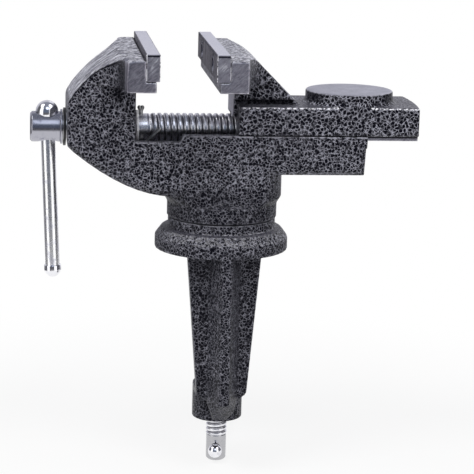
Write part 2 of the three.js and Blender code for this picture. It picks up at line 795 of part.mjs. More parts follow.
function handleCap() {
  const cap = turned([
    [0, capTop - capLength - capCone], [capFlat, capTop - capLength - capCone],
    [capRadius, capTop - capLength], [capRadius, capTop], [0, capTop],
  ], 'z', smallSides);
  const socket = rod(capPegRadius + seat, capTop - capSocket, capTop + overrun, 'z');
  return leaning(cap.subtract(socket));
}

// Clamp screw with its pad and its handle

function clampPad() {
  const top = -tableThickness;
  const bottom = top - padHeight;
  const socket = rod(clampTip + seat, bottom - overrun, bottom + padSocket, 'z');
  return turned([
    [0, bottom], [padNeck, bottom], [padRadius, top - padRim], [padRadius, top], [0, top],
  ], 'z').subtract(socket);
}

function clampScrew() {
  const padBottom = -tableThickness - padHeight;
  const tipTop = padBottom + padSocket - seat;
  const headTop = clampHead - clampDrop;
  const head = turned([
    [0, -clampDrop], [clampRadius - clampChamfer, -clampDrop],
    [clampRadius, clampChamfer - clampDrop], [clampRadius, headTop], [0, headTop],
  ], 'z');
  const thread = threaded(clampRadius, clampRoot, clampPitch, headTop - seat, padBottom - running);
  const tip = rod(clampTip, padBottom - overrun, tipTop, 'z');
  const hole = rod(clampBarHole, -clampRadius * 2, clampRadius * 2, 'y')
    .rotate([0, 0, -clampTurn]).translate([0, 0, clampHoleZ]);
  return head.add(thread).add(tip).subtract(hole);
}

function onClampBar(solid) {
  return solid.rotate([0, 0, -clampTurn]).translate([0, 0, clampHoleZ]);
}

function clampBall(place, inward) {
  const socket = rod(clampBarRadius + seat, ...sortedPair(0, inward * clampBallRadius * 2), 'y');
  return onClampBar(ball(clampBallRadius).subtract(socket).translate([0, place, 0]));
}

function clampBar() {
  const near = seat - clampBallReach;
  const far = clampBarLength - clampBallReach - seat;
  return onClampBar(rod(clampBarRadius, near, far, 'y', smallSides));
}

addPiece('clamp_base', baseCasting(), paint);
addPiece('swivel_lock_screw', lockScrew(), zinc);
addPiece('head_casting', headCasting(), paint);
addPiece('fixed_jaw_plate', jawPlate(fixedGrip, -1), ground);
addPlateScrews('fixed_plate_screw', fixedGrip, -1);
addPiece('sliding_jaw', slidingJaw(), paint);
addPiece('sliding_jaw_plate', jawPlate(movingGrip, 1), ground);
addPlateScrews('sliding_plate_screw', movingGrip, 1);
addPiece('spindle_nut', spindleNut(), castIron);
addNutScrews();
addPiece('spindle', spindle(), zinc);
addPiece('thrust_washer', spindleWasher(
  thrustRadius, -bodyReach - seat - thrustThickness, thrustThickness), blackSteel);
addPiece('retaining_washer', spindleWasher(
  retainerRadius, padFace + seat, retainerThickness), blackSteel);
addPiece('split_pin', splitPin(), zinc);
addPiece('handle_bar', handleBar(), zinc);
addPiece('handle_ball', handleBall(), zinc);
addPiece('handle_cap', handleCap(), zinc);
addPiece('clamp_pad', clampPad(), zinc);
addPiece('clamp_screw', clampScrew(), zinc);
addPiece('clamp_bar', clampBar(), zinc);
addPiece('clamp_ball_front', clampBall(-clampBallReach, 1), zinc);
addPiece('clamp_ball_rear', clampBall(clampBarLength - clampBallReach, -1), zinc);

export default vise;
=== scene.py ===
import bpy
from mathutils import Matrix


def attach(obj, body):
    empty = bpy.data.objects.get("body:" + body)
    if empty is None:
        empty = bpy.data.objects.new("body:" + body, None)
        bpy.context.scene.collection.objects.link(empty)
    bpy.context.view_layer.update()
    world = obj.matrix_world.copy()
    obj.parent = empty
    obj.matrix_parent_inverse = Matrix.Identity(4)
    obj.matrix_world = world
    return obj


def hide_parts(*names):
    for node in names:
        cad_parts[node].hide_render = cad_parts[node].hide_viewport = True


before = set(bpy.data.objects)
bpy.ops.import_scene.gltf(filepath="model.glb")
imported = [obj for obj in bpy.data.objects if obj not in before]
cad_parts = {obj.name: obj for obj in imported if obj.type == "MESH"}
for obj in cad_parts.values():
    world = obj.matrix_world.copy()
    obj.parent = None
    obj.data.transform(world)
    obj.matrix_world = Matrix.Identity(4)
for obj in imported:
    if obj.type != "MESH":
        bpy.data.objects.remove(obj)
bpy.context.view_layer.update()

from math import cos, pi, radians, sin

import bmesh
import bpy
import numpy as np
from mathutils import Matrix, Vector

MM = 0.001

# Sizes and places of the part, in millimetres, as in its source
SCREW_Z = 54.2
BED_TOP = 53.4
JAW_BOTTOM = 75.6
JAW_HALF = 45
BLOCK_DEPTH = 14
FIXED_GRIP = -32
MOVING_GRIP = -8
WEB_FRONT = 2.9
PLATE_TOP = 92
PLATE_BOTTOM = 80.4
PLATE_DEPTH = 5.9
PLATE_EDGE = 0.3
TOOTH_PITCH = 2.5
TOOTH_DEPTH = 0.5
TOOTH_HALF = 0.5
PLATE_SCREW_Y = 25
PLATE_SCREW_SUNK = 0.8
PLATE_SCREW_HEAD = 3.75
PLATE_SCREW_SHANK = 2
PLATE_SCREW_REACH = 11.5
PLATE_SCREW_EDGE = 0.5
PLATE_SCREW_CONE = 2.4
SLOT_HALVES = (0.5, 5, 1)
PLATE_HOLE_HEAD = 3.95
PLATE_HOLE_BORE = 2.3
RIDGE_X = -50.2
RIDGE_Z = 88
RIDGE_REACH = 8
SLOPE_LOW = (-68, 70)
SLOPE_HIGH = (RIDGE_X, RIDGE_Z)
SLOPE_SWELL = 1.4
SLOPE_SKIN = 5
ANVIL_TOP = 72
SLIDE_TOP = 66.4

BARREL_START = -86
BARREL_END = -72.8
BARREL_RADIUS = 6.75
BARREL_FACE = 5.9
BARREL_GROOVE = 0.5
BARREL_GAP = 0.1
COLLAR_RADIUS = 7.7
COLLAR_END = -71.8
SHANK_RADIUS = 6.1
THREAD_START = -33.5
THREAD_END = 55
THREAD_RADIUS = 6.4
THREAD_ROOT = 5.1
THREAD_PITCH = 2.8
THREAD_LAP = 1.2
THREAD_RUN_IN = 4.5
THRUST_RADIUS = 8.4
THRUST_START = -71.5
RETAINER_RADIUS = 7.6
RETAINER_START = -39.4
WASHER_THICKNESS = 1.2
WASHER_BORE = 6.5
PIN_X = -37.1
PIN_RADIUS = 0.85
PRONG_RADIUS = 0.95
PRONG_LENGTH = 2.3
PRONG_SPREAD = 28
PRONG_ROOT = 3
PRONG_BEND = 1.2
PIN_SIDE = 8.4
PIN_RUN = 8.6
PIN_RISE = 8
PIN_DROP = 0.4
PIN_BEND = 2.2

BAR_X = -78.3
BAR_LEAN = 2.35
BAR_RADIUS = 3.15
BAR_HOLE = 3.45
BALL_RADIUS = 5
BALL_RISE = 6.65
CAP_TOP = -62.6
CAP_RADIUS = 3.75
CAP_LENGTH = 2.9
CAP_CONE = 2.6
CAP_FLAT = 1.6
CAP_STEP = 0.5
CAP_SOCKET = 1

CLAMP_RADIUS = 4.8
CLAMP_ROOT = 3.9
CLAMP_PITCH = 2.1
CLAMP_BOTTOM = -100.4
CLAMP_HEAD_TOP = -88.4
CLAMP_HEAD_RADIUS = 4.55
CLAMP_HEAD_CONE = 0.6
CLAMP_THREAD_RISE = 0.4
CLAMP_TIP = -19.7
CLAMP_HOLE_Z = -94.5
CLAMP_TURN = 9
CLAMP_HOLE = 2.5
CLAMP_HOLE_MOUTH = 3.4
CLAMP_BAR_RADIUS = 2.1
CLAMP_BALL_RADIUS = 3.2
CLAMP_BALL_FRONT = 7.7
CLAMP_BALL_REAR = 50.25
PAD_TOP = -17
PAD_BOTTOM = -23.4
PAD_RADIUS = 10
PAD_RIM = 2.2
PAD_NECK = 6.2
PAD_BORE = 4.1
PAD_EDGE = 0.5
PAD_DISH = 0.6
PAD_LAND = 2.2
PAD_TIP = 1.8
PAD_CONE = 0.8
PAD_ROUNDING = 0.4

LOCK_Z = 7.2
LOCK_HEAD_START = 30.9
LOCK_HEAD_END = 35.3
LOCK_ACROSS = 10
LOCK_CHAMFER = 0.35
LOCK_CROWN = 1
LOCK_RADIUS = 3
LOCK_DEPTH = 0.5
LOCK_PITCH = 1
LOCK_CORE = 2.4
LOCK_TIP = 12

# Roundings, chamfers and play that several pieces share
SOFT_EDGE = 0.3
FINE_EDGE = 0.15
CRISP_EDGE = 0.02
CHAMFER = 0.9
PLAY = 0.2

FLOOR_Z = -100.45
FLOOR_RADIUS = 340
FLOOR_THICKNESS = 2
FLOOR_STEPS = 96

# Camera of the photograph
CAMERA_AZIMUTH = -6.6
CAMERA_HEIGHT = 12.1
CAMERA_ROLL = 1.48
CAMERA_DISTANCE = 0.905
CAMERA_TARGET = (0.00734, 0, 0.00419)
SENSOR = 36
FOCAL_SHARE = 2000 / 474
CLIP_START = 0.05
CLIP_END = 20


def from_angles(azimuth, height):
    """The direction of a place round the object: azimuth 0 is the front, height 90 is above."""
    a, h = radians(azimuth), radians(height)
    return Vector((sin(a) * cos(h), -cos(a) * cos(h), sin(h)))


def in_scene(name, data):
    item = bpy.data.objects.new(name, data)
    bpy.context.scene.collection.objects.link(item)
    return item


def place_camera():
    back = from_angles(CAMERA_AZIMUTH, CAMERA_HEIGHT)
    right = Vector((0, 0, 1)).cross(back).normalized()
    up = back.cross(right)
    roll = radians(CAMERA_ROLL)
    x_axis = right * cos(roll) + up * sin(roll)
    y_axis = up * cos(roll) - right * sin(roll)
    data = bpy.data.cameras.new("camera")
    data.sensor_width = SENSOR
    data.lens = SENSOR * FOCAL_SHARE
    data.clip_start = CLIP_START
    data.clip_end = CLIP_END
    camera = in_scene("camera", data)
    turn = Matrix((x_axis, y_axis, back)).transposed().to_4x4()
    camera.matrix_world = Matrix.Translation(
        Vector(CAMERA_TARGET) + back * CAMERA_DISTANCE) @ turn
    bpy.context.scene.camera = camera


# Node trees

EDGE_POINTINESS = (0.510, 0.545)


class Tree:
    """Adds nodes to a material or world and links them by socket name or number."""

    def __init__(self, owner):
        owner.use_nodes = True
        self.nodes = owner.node_tree.nodes
        self.links = owner.node_tree.links
        self.nodes.clear()

    def put(self, node, name, value):
        socket = node.inputs[name]
        if isinstance(value, bpy.types.NodeSocket):
            self.links.new(value, socket)
        else:
            socket.default_value = value

    def new(self, kind, inputs, **settings):
        """A new node's outputs, once its settings and inputs are in place."""
        node = self.nodes.new(f"ShaderNode{kind}")
        for name, value in settings.items():
            setattr(node, name, value)
        for name, value in inputs.items():
            self.put(node, name, value)
        return node.outputs

    def math(self, operation, a, b=0.0, c=0.0):
        return self.new("Math", {0: a, 1: b, 2: c}, operation=operation)[0]

    def scaled(self, value, factor, offset):
        return self.math("MULTIPLY_ADD", value, factor, offset)

    def chained(self, operation, shares):
        result = shares[0]
        for share in shares[1:]:
            result = self.math(operation, result, share)
        return result

    def every(self, *shares):
        return self.chained("MULTIPLY", shares)

    def either(self, *shares):
        return self.chained("MAXIMUM", shares)

    def mix(self, share, a, b):
        """From colour a to colour b as the share grows."""
        return self.new("Mix", {0: share, 6: a, 7: b}, data_type="RGBA")[2]

    def blend(self, share, a, b):
        """From number a to number b as the share grows."""
        return self.new("Mix", {0: share, 2: a, 3: b})[0]

    def ramp(self, value, low, high):
        return self.new("MapRange", {0: value, 1: low, 2: high}, interpolation_type="SMOOTHSTEP")[0]

    def above(self, value, limit, soft=0.1):
        return self.ramp(value, limit - soft, limit + soft)

    def below(self, value, limit, soft=0.1):
        return self.math("SUBTRACT", 1.0, self.above(value, limit, soft))

    def past(self, value, place, soft=0.2):
        """Grows to 1 beyond a place in millimetres."""
        return self.above(value, place * MM, soft * MM)

    def short_of(self, value, place, soft=0.2):
        return self.below(value, place * MM, soft * MM)

    def noise(self, place, scale, detail=2.0, roughness=0.5, output=0):
        return self.new("TexNoise", {"Vector": place, "Scale": scale, "Detail": detail,
                                     "Roughness": roughness})[output]

    def voronoi(self, place, scale, feature="F1"):
        return self.new("TexVoronoi", {"Vector": place, "Scale": scale}, feature=feature)

    def mapped(self, place, scale, turn=None):
        """The place turned, and then stretched along the turned axes."""
        if turn:
            angles = tuple(radians(angle) for angle in turn)
            place = self.new("Mapping", {"Vector": place, "Rotation": angles})[0]
        return self.new("Mapping", {"Vector": place, "Scale": scale})[0]

    def shifted(self, place, colour, amount):
        """The place moved by a noise's colour."""
        return self.new("VectorMath", {0: colour, 1: (amount, amount, amount), 2: place},
                        operation="MULTIPLY_ADD")[0]

    def split(self, vector):
        return self.new("SeparateXYZ", {0: vector})

    def place(self):
        return self.new("TexCoord", {})["Object"]

    def normal(self):
        return self.new("TexCoord", {})["Normal"]

    def edges(self):
        """Grows towards 1 on the part's outer edges."""
        return self.ramp(self.new("NewGeometry", {})["Pointiness"], *EDGE_POINTINESS)

    def bump(self, height, strength, distance):
        return self.new("Bump", {"Strength": strength, "Distance": distance, "Height": height})[0]


def grey(value, blue=0.0):
    """A grey, with a share of blue added if asked."""
    return (value, value, value * (1 + blue), 1)


def new_material(name):
    material = bpy.data.materials.new(name)
    tree = Tree(material)
    shader = tree.nodes.new("ShaderNodeBsdfPrincipled")
    tree.new("OutputMaterial", {0: shader.outputs[0]})
    return material, tree, shader


def finish(tree, shader, colour, metallic, rough, normal, specular=0.5):
    for name, value in (("Base Color", colour), ("Metallic", metallic), ("Roughness", rough),
                        ("Normal", normal), ("Specular IOR Level", specular)):
        tree.put(shader, name, value)


# Hammertone paint

SPOT_BLACK = (0.003, 0.003, 0.007, 1)
PAINT_DARK = (0.006, 0.006, 0.010, 1)
PAINT_LIGHT = (0.036, 0.035, 0.045, 1)
# A painted sheen that flat tops take on
PAINT_FLAT_SHEEN = (0.060, 0.059, 0.075, 1)
# A painted highlight for rounded front edges
HIGHLIGHT_WHITE = (0.95, 0.95, 1.0, 1)
VEIN_SILVER = (0.45, 0.45, 0.52, 1)
# How far a spot reaches, in cells
LUCK_REACH = 0.34
LEAST_REACH = 0.27
PATCH_REACH = 0.16
# Each pair is the start and the end of a soft step
SPOT_EDGE = (-0.02, 0.07)
VEIN_WIDTH = (0.095, 0.025)
VEIN_GAPS = (0.38, 0.52)
THREAD_WIDTH = (0.04, 0.008)
BODY_STEP = (0.46, 0.60)
HIGHLIGHT_STEP = (0.46, 0.56)
THREAD_SHARE = 0.55
VEIN_METAL = 0.35
VEIN_HEIGHT = 0.5
FLAT_SHEEN_SHARE = 0.6
BED_LEVEL = 60
FOOT_LEVELS = (8, 16)
HIGHLIGHT_TOP = SLIDE_TOP + 0.1
# Limits of a normal's direction
UPRIGHT = 0.85
ROUNDED = (0.40, 0.90)
FRONTWARD = -0.3
SHARP_STEP = 0.05


def hammertone_nodes(tree, pitch, vein_share, highlight_share):
    """Colour, roughness, metal share and height of black and silver hammertone paint, with a
    painted sheen on flat tops and painted highlights on rounded front edges.
    """
    place = tree.place()
    drift = tree.noise(place, 0.9 / pitch, 2.0, 0.6, output=1)
    loose = tree.shifted(place, drift, pitch * 0.75)
    cells = tree.voronoi(loose, 1 / pitch)
    rims = tree.voronoi(loose, 1 / pitch, "DISTANCE_TO_EDGE")[0]
    luck = tree.split(cells["Color"])[0]
    patch = tree.noise(place, 0.12 / pitch, 2.0)
    reach = tree.math("ADD", tree.scaled(luck, LUCK_REACH, LEAST_REACH),
                      tree.scaled(patch, PATCH_REACH, -PATCH_REACH / 2))
    field = tree.ramp(tree.math("SUBTRACT", cells["Distance"], reach), *SPOT_EDGE)
    broken = tree.ramp(tree.noise(place, 0.9 / pitch, 2.0), *VEIN_GAPS)
    vein = tree.every(tree.ramp(rims, *VEIN_WIDTH), broken)
    strand = tree.noise(loose, 1.7 / pitch, 1.0)
    near = tree.math("ABSOLUTE", tree.math("SUBTRACT", strand, 0.5))
    thread = tree.every(tree.ramp(near, *THREAD_WIDTH), field, THREAD_SHARE)
    vein = tree.every(tree.either(vein, thread), vein_share)
    fine = tree.noise(place, 2.5 / pitch, 2.0)
    body = tree.mix(tree.ramp(fine, *BODY_STEP), PAINT_DARK, PAINT_LIGHT)
    colour = tree.mix(vein, tree.mix(field, SPOT_BLACK, body), VEIN_SILVER)
    _, ny, nz = tree.split(tree.normal())
    z = tree.split(place)[2]
    low, high = FOOT_LEVELS
    level = tree.either(tree.past(z, BED_LEVEL),
                        tree.every(tree.short_of(z, high), tree.past(z, low)))
    # Painted sheen: faces that look up, above the bed level and on the low flange, turn a smooth
    # lighter grey
    flat = tree.every(tree.above(nz, UPRIGHT), level, FLAT_SHEEN_SHARE)
    colour = tree.mix(flat, colour, PAINT_FLAT_SHEEN)
    # Painted highlight: white spots along rounded edges that face up and to the front
    spots = tree.ramp(tree.noise(place, 1.1 / pitch, 1.0), *HIGHLIGHT_STEP)
    edge_highlight = tree.every(tree.above(nz, ROUNDED[0]), tree.below(nz, ROUNDED[1], SHARP_STEP),
                      tree.below(ny, FRONTWARD), spots, tree.short_of(z, HIGHLIGHT_TOP))
    colour = tree.mix(tree.every(edge_highlight, highlight_share), colour, HIGHLIGHT_WHITE)
    rough = tree.scaled(fine, 0.22, 0.22)
    return colour, rough, tree.every(vein, VEIN_METAL), tree.scaled(vein, VEIN_HEIGHT, field)


# Ground steel

# Lit and shaded copies of ground steel, as painted light: TOP for faces that look up, SIDE for the
# rest
TOP_LIGHT = (0.55, 0.55, 0.62, 1)
TOP_DARK = (0.35, 0.35, 0.41, 1)
SIDE_LIGHT = (0.44, 0.43, 0.50, 1)
SIDE_DARK = (0.20, 0.19, 0.23, 1)
CROWN_LIGHT = (0.96, 0.96, 1.0, 1)
CROWN_DARK = (0.12, 0.12, 0.17, 1)
PLATE_LIGHT = (0.88, 0.88, 0.92, 1)
PLATE_SHADED = (0.70, 0.70, 0.81, 1)
GRIP_LIGHT = (0.16, 0.15, 0.18, 1)
GRIP_DARK = (0.02, 0.02, 0.03, 1)
WORN_DARK = (0.025, 0.025, 0.04, 1)
BRIGHT_EDGE = (0.92, 0.92, 0.97, 1)
BARE_METAL = 0.93
PLATE_METAL = 0.92
DULL_METAL = 0.02
WORN_METAL = 0.03
GROUND_ROUGH = (0.22, 0.30)
PAINT_GLOSS = 0.08
# How often a mark repeats along X, Y and Z, and its turn in degrees
WHEEL_MARKS, WHEEL_TURN = (420, 1500, 2600), (0, 38, 0)
CROWN_STREAKS, CROWN_SCUFFS, CROWN_TURN = (110, 700, 700), (130, 420, 420), (0, 42, 0)
END_MARKS, END_TURN = (260, 900, 1500), (0, 45, 0)
GRIP_GROOVES = (60, 900, 60)
SCRATCHES, SCRATCH_TURN = (300, 300, 4000), (30, 25, 10)
GROUND_STEP = (0.36, 0.64)
STREAK_STEP = (0.42, 0.58)
SCUFF_STEP = (0.52, 0.64)
SPECK_STEP = (0.56, 0.63)
MARK_SHARE, FINE_SHARE, CLOUD_SHARE = 0.45, 0.2, 0.35
END_STREAKS = 0.75
EDGE_SHEEN = 0.4
CROWN_DENTS = 0.5
LEVEL = 0.8
SIDEWAYS = 0.7
PLATE_RIM = PLATE_TOP - 1.1
PLATE_CORNER = 0.8 - JAW_HALF
PLATE_BUMP = (0.45, 0.00015)
CASTING_BUMP = (0.7, 0.00025)


# Painted light: how far a face looks up, to pick the lighter top copy of the steel
def lit_top(tree):
    return tree.above(tree.split(tree.normal())[2], 0.35, 0.2)


def grain(tree, place, stretch, turn, detail, roughness):
    """Noise drawn out along a direction, as a wheel or wear leaves it."""
    return tree.noise(tree.mapped(place, stretch, turn), 1.0, detail, roughness)


def ground_nodes(tree, lift=0.0):
    """Colour and height of steel that a wheel has ground, with painted light: brighter where it
    faces up.
    """
    place = tree.place()
    marks = grain(tree, place, WHEEL_MARKS, WHEEL_TURN, 3.0, 0.6)
    fine = tree.noise(place, 2300, 2.0, 0.6)
    cloud = tree.noise(place, 150, 4.0, 0.65)
    shade = tree.scaled(fine, FINE_SHARE, tree.scaled(marks, MARK_SHARE, lift))
    shade = tree.ramp(tree.scaled(cloud, CLOUD_SHARE, shade), *GROUND_STEP)
    up = lit_top(tree)
    colour = tree.mix(shade, tree.mix(up, SIDE_DARK, TOP_DARK), tree.mix(up, SIDE_LIGHT, TOP_LIGHT))
    return colour, marks


def crown_nodes(tree):
    """Colour and wear of a crown: streaks down the slope, and dark scuffs and specks."""
    place = tree.place()
    streaks = grain(tree, place, CROWN_STREAKS, CROWN_TURN, 4.0, 0.7)
    colour = tree.mix(tree.ramp(streaks, *STREAK_STEP), CROWN_DARK, CROWN_LIGHT)
    bent_place = tree.shifted(place, tree.noise(place, 110, 2.0, output=1), 0.01)
    scuffs = grain(tree, bent_place, CROWN_SCUFFS, CROWN_TURN, 4.0, 0.65)
    specks = tree.noise(place, 400, 3.0, 0.7)
    worn = tree.either(tree.ramp(scuffs, *SCUFF_STEP), tree.ramp(specks, *SPECK_STEP))
    return tree.mix(worn, colour, WORN_DARK), worn, streaks


def plate_material(name):
    """A jaw plate: a lighter top as painted light, dull on its grip face and back, and a painted
    highlight on its front corners.
    """
    material, tree, shader = new_material(name)
    colour, height = ground_nodes(tree, 0.04)
    nx, ny, nz = tree.split(tree.normal())
    place = tree.place()
    _, y, z = tree.split(place)
    across = tree.math("ABSOLUTE", nx)
    dull = tree.above(across, 0.5)
    # Painted light: the top face is a lighter copy of the steel
    lit_top_colour = tree.mix(tree.ramp(height, 0.35, 0.65), PLATE_SHADED, PLATE_LIGHT)
    colour = tree.mix(tree.above(nz, LEVEL), colour, lit_top_colour)
    streaks = grain(tree, tree.mapped(place, (1, 1, 1), END_TURN), END_MARKS, None, 3.0, 0.6)
    spread = tree.ramp(tree.noise(place, 150, 2.0), 0.46, 0.60)
    end = tree.above(tree.math("ABSOLUTE", ny), SIDEWAYS)
    streaks = tree.every(tree.ramp(streaks, 0.48, 0.60), spread, end, END_STREAKS)
    colour = tree.mix(streaks, colour, BRIGHT_EDGE)
    grooves = grain(tree, place, GRIP_GROOVES, None, 3.0, 0.6)
    grip = tree.mix(tree.ramp(grooves, *STREAK_STEP), GRIP_DARK, GRIP_LIGHT)
    colour = tree.mix(dull, colour, grip)
    rim = tree.every(tree.past(z, PLATE_RIM), tree.below(nz, 0.3))
    colour = tree.mix(rim, colour, WORN_DARK)
    # Painted highlight in spots along the plate's front corners
    corner = tree.every(tree.above(across, 0.4), tree.below(across, 0.9, SHARP_STEP),
                        tree.short_of(y, PLATE_CORNER),
                        tree.ramp(tree.noise(place, 900), 0.40, 0.55))
    colour = tree.mix(corner, colour, BRIGHT_EDGE)
    metal = tree.scaled(dull, DULL_METAL - PLATE_METAL, PLATE_METAL)
    finish(tree, shader, colour, metal, tree.scaled(height, *GROUND_ROUGH),
           tree.bump(height, *PLATE_BUMP), tree.scaled(dull, -0.4, 0.5))
    return material


def casting_material(name, pitch, vein_share, highlight_share, find_shares):
    """Hammertone paint, with bare metal, a worn crown, dark lines and painted shade where
    find_shares says so, and painted sheen on outer edges.
    """
    material, tree, shader = new_material(name)
    colour, rough, metal, height = hammertone_nodes(tree, pitch, vein_share, highlight_share)
    # Outer edges turn silver in spots: partly worn paint, partly a painted sheen that is stronger
    # where they face up
    edges = tree.edges()
    sheen_spots = tree.ramp(tree.noise(tree.place(), 0.6 / pitch, 1.0), 0.45, 0.55)
    level = tree.scaled(tree.above(tree.split(tree.normal())[2], 0.2, 0.2), 0.5, 0.3)
    colour = tree.mix(tree.every(edges, sheen_spots, level), colour, VEIN_SILVER)
    ground, marks = ground_nodes(tree)
    shares = find_shares(tree)
    bare = shares["bare"]
    shine = BARE_METAL
    dents = 0.0
    if "crown" in shares:
        crown, worn, streaks = crown_nodes(tree)
        dents = tree.every(shares["crown"], tree.math("SUBTRACT", streaks, worn), CROWN_DENTS)
        ground = tree.mix(shares["crown"], ground, crown)
        shine = tree.scaled(tree.every(worn, shares["crown"]), WORN_METAL - BARE_METAL, BARE_METAL)
    # Painted sheen in spots on the ground metal's outer edges
    ground = tree.mix(tree.every(edges, sheen_spots, EDGE_SHEEN), ground, BRIGHT_EDGE)
    # Painted shade: the dark shares turn the paint black where shade falls
    colour = tree.mix(shares["dark"], colour, SPOT_BLACK)
    colour = tree.mix(bare, colour, ground)
    # Dark lines: the paint's own edge round the crown and a rough ledge, and painted shade behind
    # the jaw plates and under the slide
    if "line" in shares:
        colour = tree.mix(shares["line"], colour, SPOT_BLACK)
        shine = tree.every(shine, tree.scaled(shares["line"], -1.0, 1.0))
    rough = tree.blend(bare, rough, tree.scaled(marks, *GROUND_ROUGH))
    lift = tree.blend(bare, height, tree.scaled(marks, 0.3, dents))
    finish(tree, shader, colour, tree.blend(bare, metal, shine), rough,
           tree.bump(lift, *CASTING_BUMP), PAINT_GLOSS)
    return material


# Where the castings are ground, worn or dark, and where shade is painted on them, in millimetres

BLOCK_LAP = 0.5
BLOCK_DROP = 0.6
SLOPING = 0.50
RIM_SLOPING = 0.14
CROWN_LOW = 62
BESIDE_LOW = 68
BESIDE_REACH = 3
NECK_SHADE_TOP = 29
NECK_SHADE = 0.45
PLATE_SHADE_LOW = PLATE_BOTTOM + 1
FIXED_PLATE_SHADE = FIXED_GRIP - PLATE_DEPTH - 0.9
MOVING_PLATE_SHADE = MOVING_GRIP + PLATE_DEPTH + 0.5
SLOPE_START = 69
SLOPE_END = 33
SLIDE_NECK_LOW = 55
SLIDE_NECK_FRONT = WEB_FRONT + 1
ANVIL_START = 34
ANVIL_GROUND = ANVIL_TOP - 0.3
ANVIL_FOOT = SLIDE_TOP + 0.3
TONGUE_START = 62.5
TONGUE_TOP = BED_TOP + 0.1
SHADE_UNDER_LOW = BED_TOP - 1.3
NECK_FOOT = (4, 30)
NECK_FOOT_Z = (SLIDE_TOP + 0.2, SLIDE_TOP + 2.6)
LEDGE_REACH = 4
LEDGE_LOW = JAW_BOTTOM + 0.4
BESIDE_SHADE, FOOT_SHARE, LINE_SHARE = 0.7, 0.8, 0.9
SEAT_Z = 14.05
FOOT_SHADE_TOP = 3
FOOT_SHADE = 0.22
BOSS_SHADE_TOP = -60
BOSS_SHADE = 0.25


def bare_on_head(tree):
    """The fixed jaw's block, its crown, and the long slope down to the nose."""
    x, _, z = tree.split(tree.place())
    nx, ny, nz = tree.split(tree.normal())
    block_back = FIXED_GRIP - BLOCK_DEPTH - BLOCK_LAP
    block = tree.every(tree.past(x, block_back), tree.past(z, JAW_BOTTOM - BLOCK_DROP))
    high = tree.past(z, CROWN_LOW)
    crown = tree.every(high, tree.above(nz, SLOPING), tree.below(nx, 0.2))
    rim = tree.every(high, tree.above(nz, RIM_SLOPING, 0.08), tree.below(nz, SLOPING),
                     tree.below(ny, FRONTWARD), tree.short_of(x, block_back))
    # Painted shade on the crown just behind the jaw plate
    plate_shade = tree.every(tree.past(x, FIXED_PLATE_SHADE), tree.above(nz, LEVEL), tree.past(z, PLATE_SHADE_LOW))
    # Painted shade on the side beside the block, under the jaw's overhang
    beside = tree.every(tree.past(x, block_back - BESIDE_REACH, 1.5), tree.short_of(x, block_back),
                        tree.past(z, BESIDE_LOW, 3), BESIDE_SHADE)
    shade = tree.every(tree.short_of(z, NECK_SHADE_TOP, 4), NECK_SHADE)
    return {"bare": tree.either(block, crown), "crown": crown, "line": tree.either(rim, plate_shade),
            "dark": tree.either(beside, shade)}


def bare_on_slide(tree):
    """The sliding jaw's block, crown and slope, the front of its neck, its anvil and tongue."""
    x, _, z = tree.split(tree.place())
    nx, _, nz = tree.split(tree.normal())
    block = tree.every(tree.short_of(x, MOVING_GRIP + BLOCK_DEPTH + BLOCK_LAP),
                       tree.past(z, JAW_BOTTOM - BLOCK_DROP))
    slope = tree.every(tree.past(z, SLOPE_START), tree.above(nz, SLOPING),
                       tree.short_of(x, SLOPE_END))
    neck = tree.every(tree.below(nx, -0.6, 0.2), tree.short_of(x, SLIDE_NECK_FRONT),
                      tree.past(z, SLIDE_NECK_LOW))
    anvil = tree.every(tree.past(x, ANVIL_START), tree.past(z, ANVIL_GROUND))
    tongue = tree.every(tree.short_of(z, TONGUE_TOP), tree.past(x, TONGUE_START))
    # Painted shade on the crown just behind the jaw plate
    plate_shade = tree.every(tree.short_of(x, MOVING_PLATE_SHADE), tree.above(nz, LEVEL),
                      tree.past(z, PLATE_SHADE_LOW), FOOT_SHARE)
    # Painted shade in the groove at the foot of the web
    shaded_foot = tree.every(tree.past(x, NECK_FOOT[0]), tree.short_of(x, NECK_FOOT[1], 4),
                      tree.past(z, NECK_FOOT_Z[0]), tree.short_of(z, NECK_FOOT_Z[1], 1))
    # Painted shade on the anvil's left and right sides
    anvil_side_shade = tree.every(tree.past(x, ANVIL_START), tree.past(z, ANVIL_FOOT),
                          tree.above(tree.math("ABSOLUTE", nx), 0.72, 0.14))
    # Painted shade along the top of the tongue, under the slide's overhang
    shade_under_slide = tree.every(tongue, tree.past(z, SHADE_UNDER_LOW), LINE_SHARE)
    rough = tree.ramp(tree.noise(tree.place(), 700, 3.0, 0.6), 0.40, 0.56)
    ledge = tree.every(tree.below(nx, -0.5, 0.2), tree.short_of(x, MOVING_GRIP + LEDGE_REACH),
                       tree.past(z, LEDGE_LOW), rough, LINE_SHARE)
    return {"bare": tree.either(block, slope, neck, anvil, tongue), "crown": slope,
            "line": tree.either(plate_shade, shade_under_slide, ledge),
            "dark": tree.every(tree.either(shaded_foot, anvil_side_shade), FOOT_SHARE)}


def bare_on_base(tree):
    """The seat of the swivel."""
    z = tree.split(tree.place())[2]
    # Painted shade, darker towards the bottom of the leg and on the boss
    shaded_foot = tree.every(tree.short_of(z, FOOT_SHADE_TOP, 4), FOOT_SHADE)
    boss = tree.every(tree.short_of(z, BOSS_SHADE_TOP, 12), BOSS_SHADE)
    return {"bare": tree.past(z, SEAT_Z, 0.1), "dark": tree.math("ADD", shaded_foot, boss)}


# Plated, black and rough steel

CLEAN = 1.12
STAINED = 0.72


def groove_share(tree, centre, axes, root, crest):
    """Grows towards 1 at the bottom of a thread's groove."""
    parts = tree.split(tree.place())
    offs = [tree.math("SUBTRACT", parts[axis], place * MM) for axis, place in zip(axes, centre)]
    radius = tree.math("SQRT", tree.math("ADD", *[tree.every(off, off) for off in offs]))
    return tree.ramp(radius, crest * MM, root * MM)


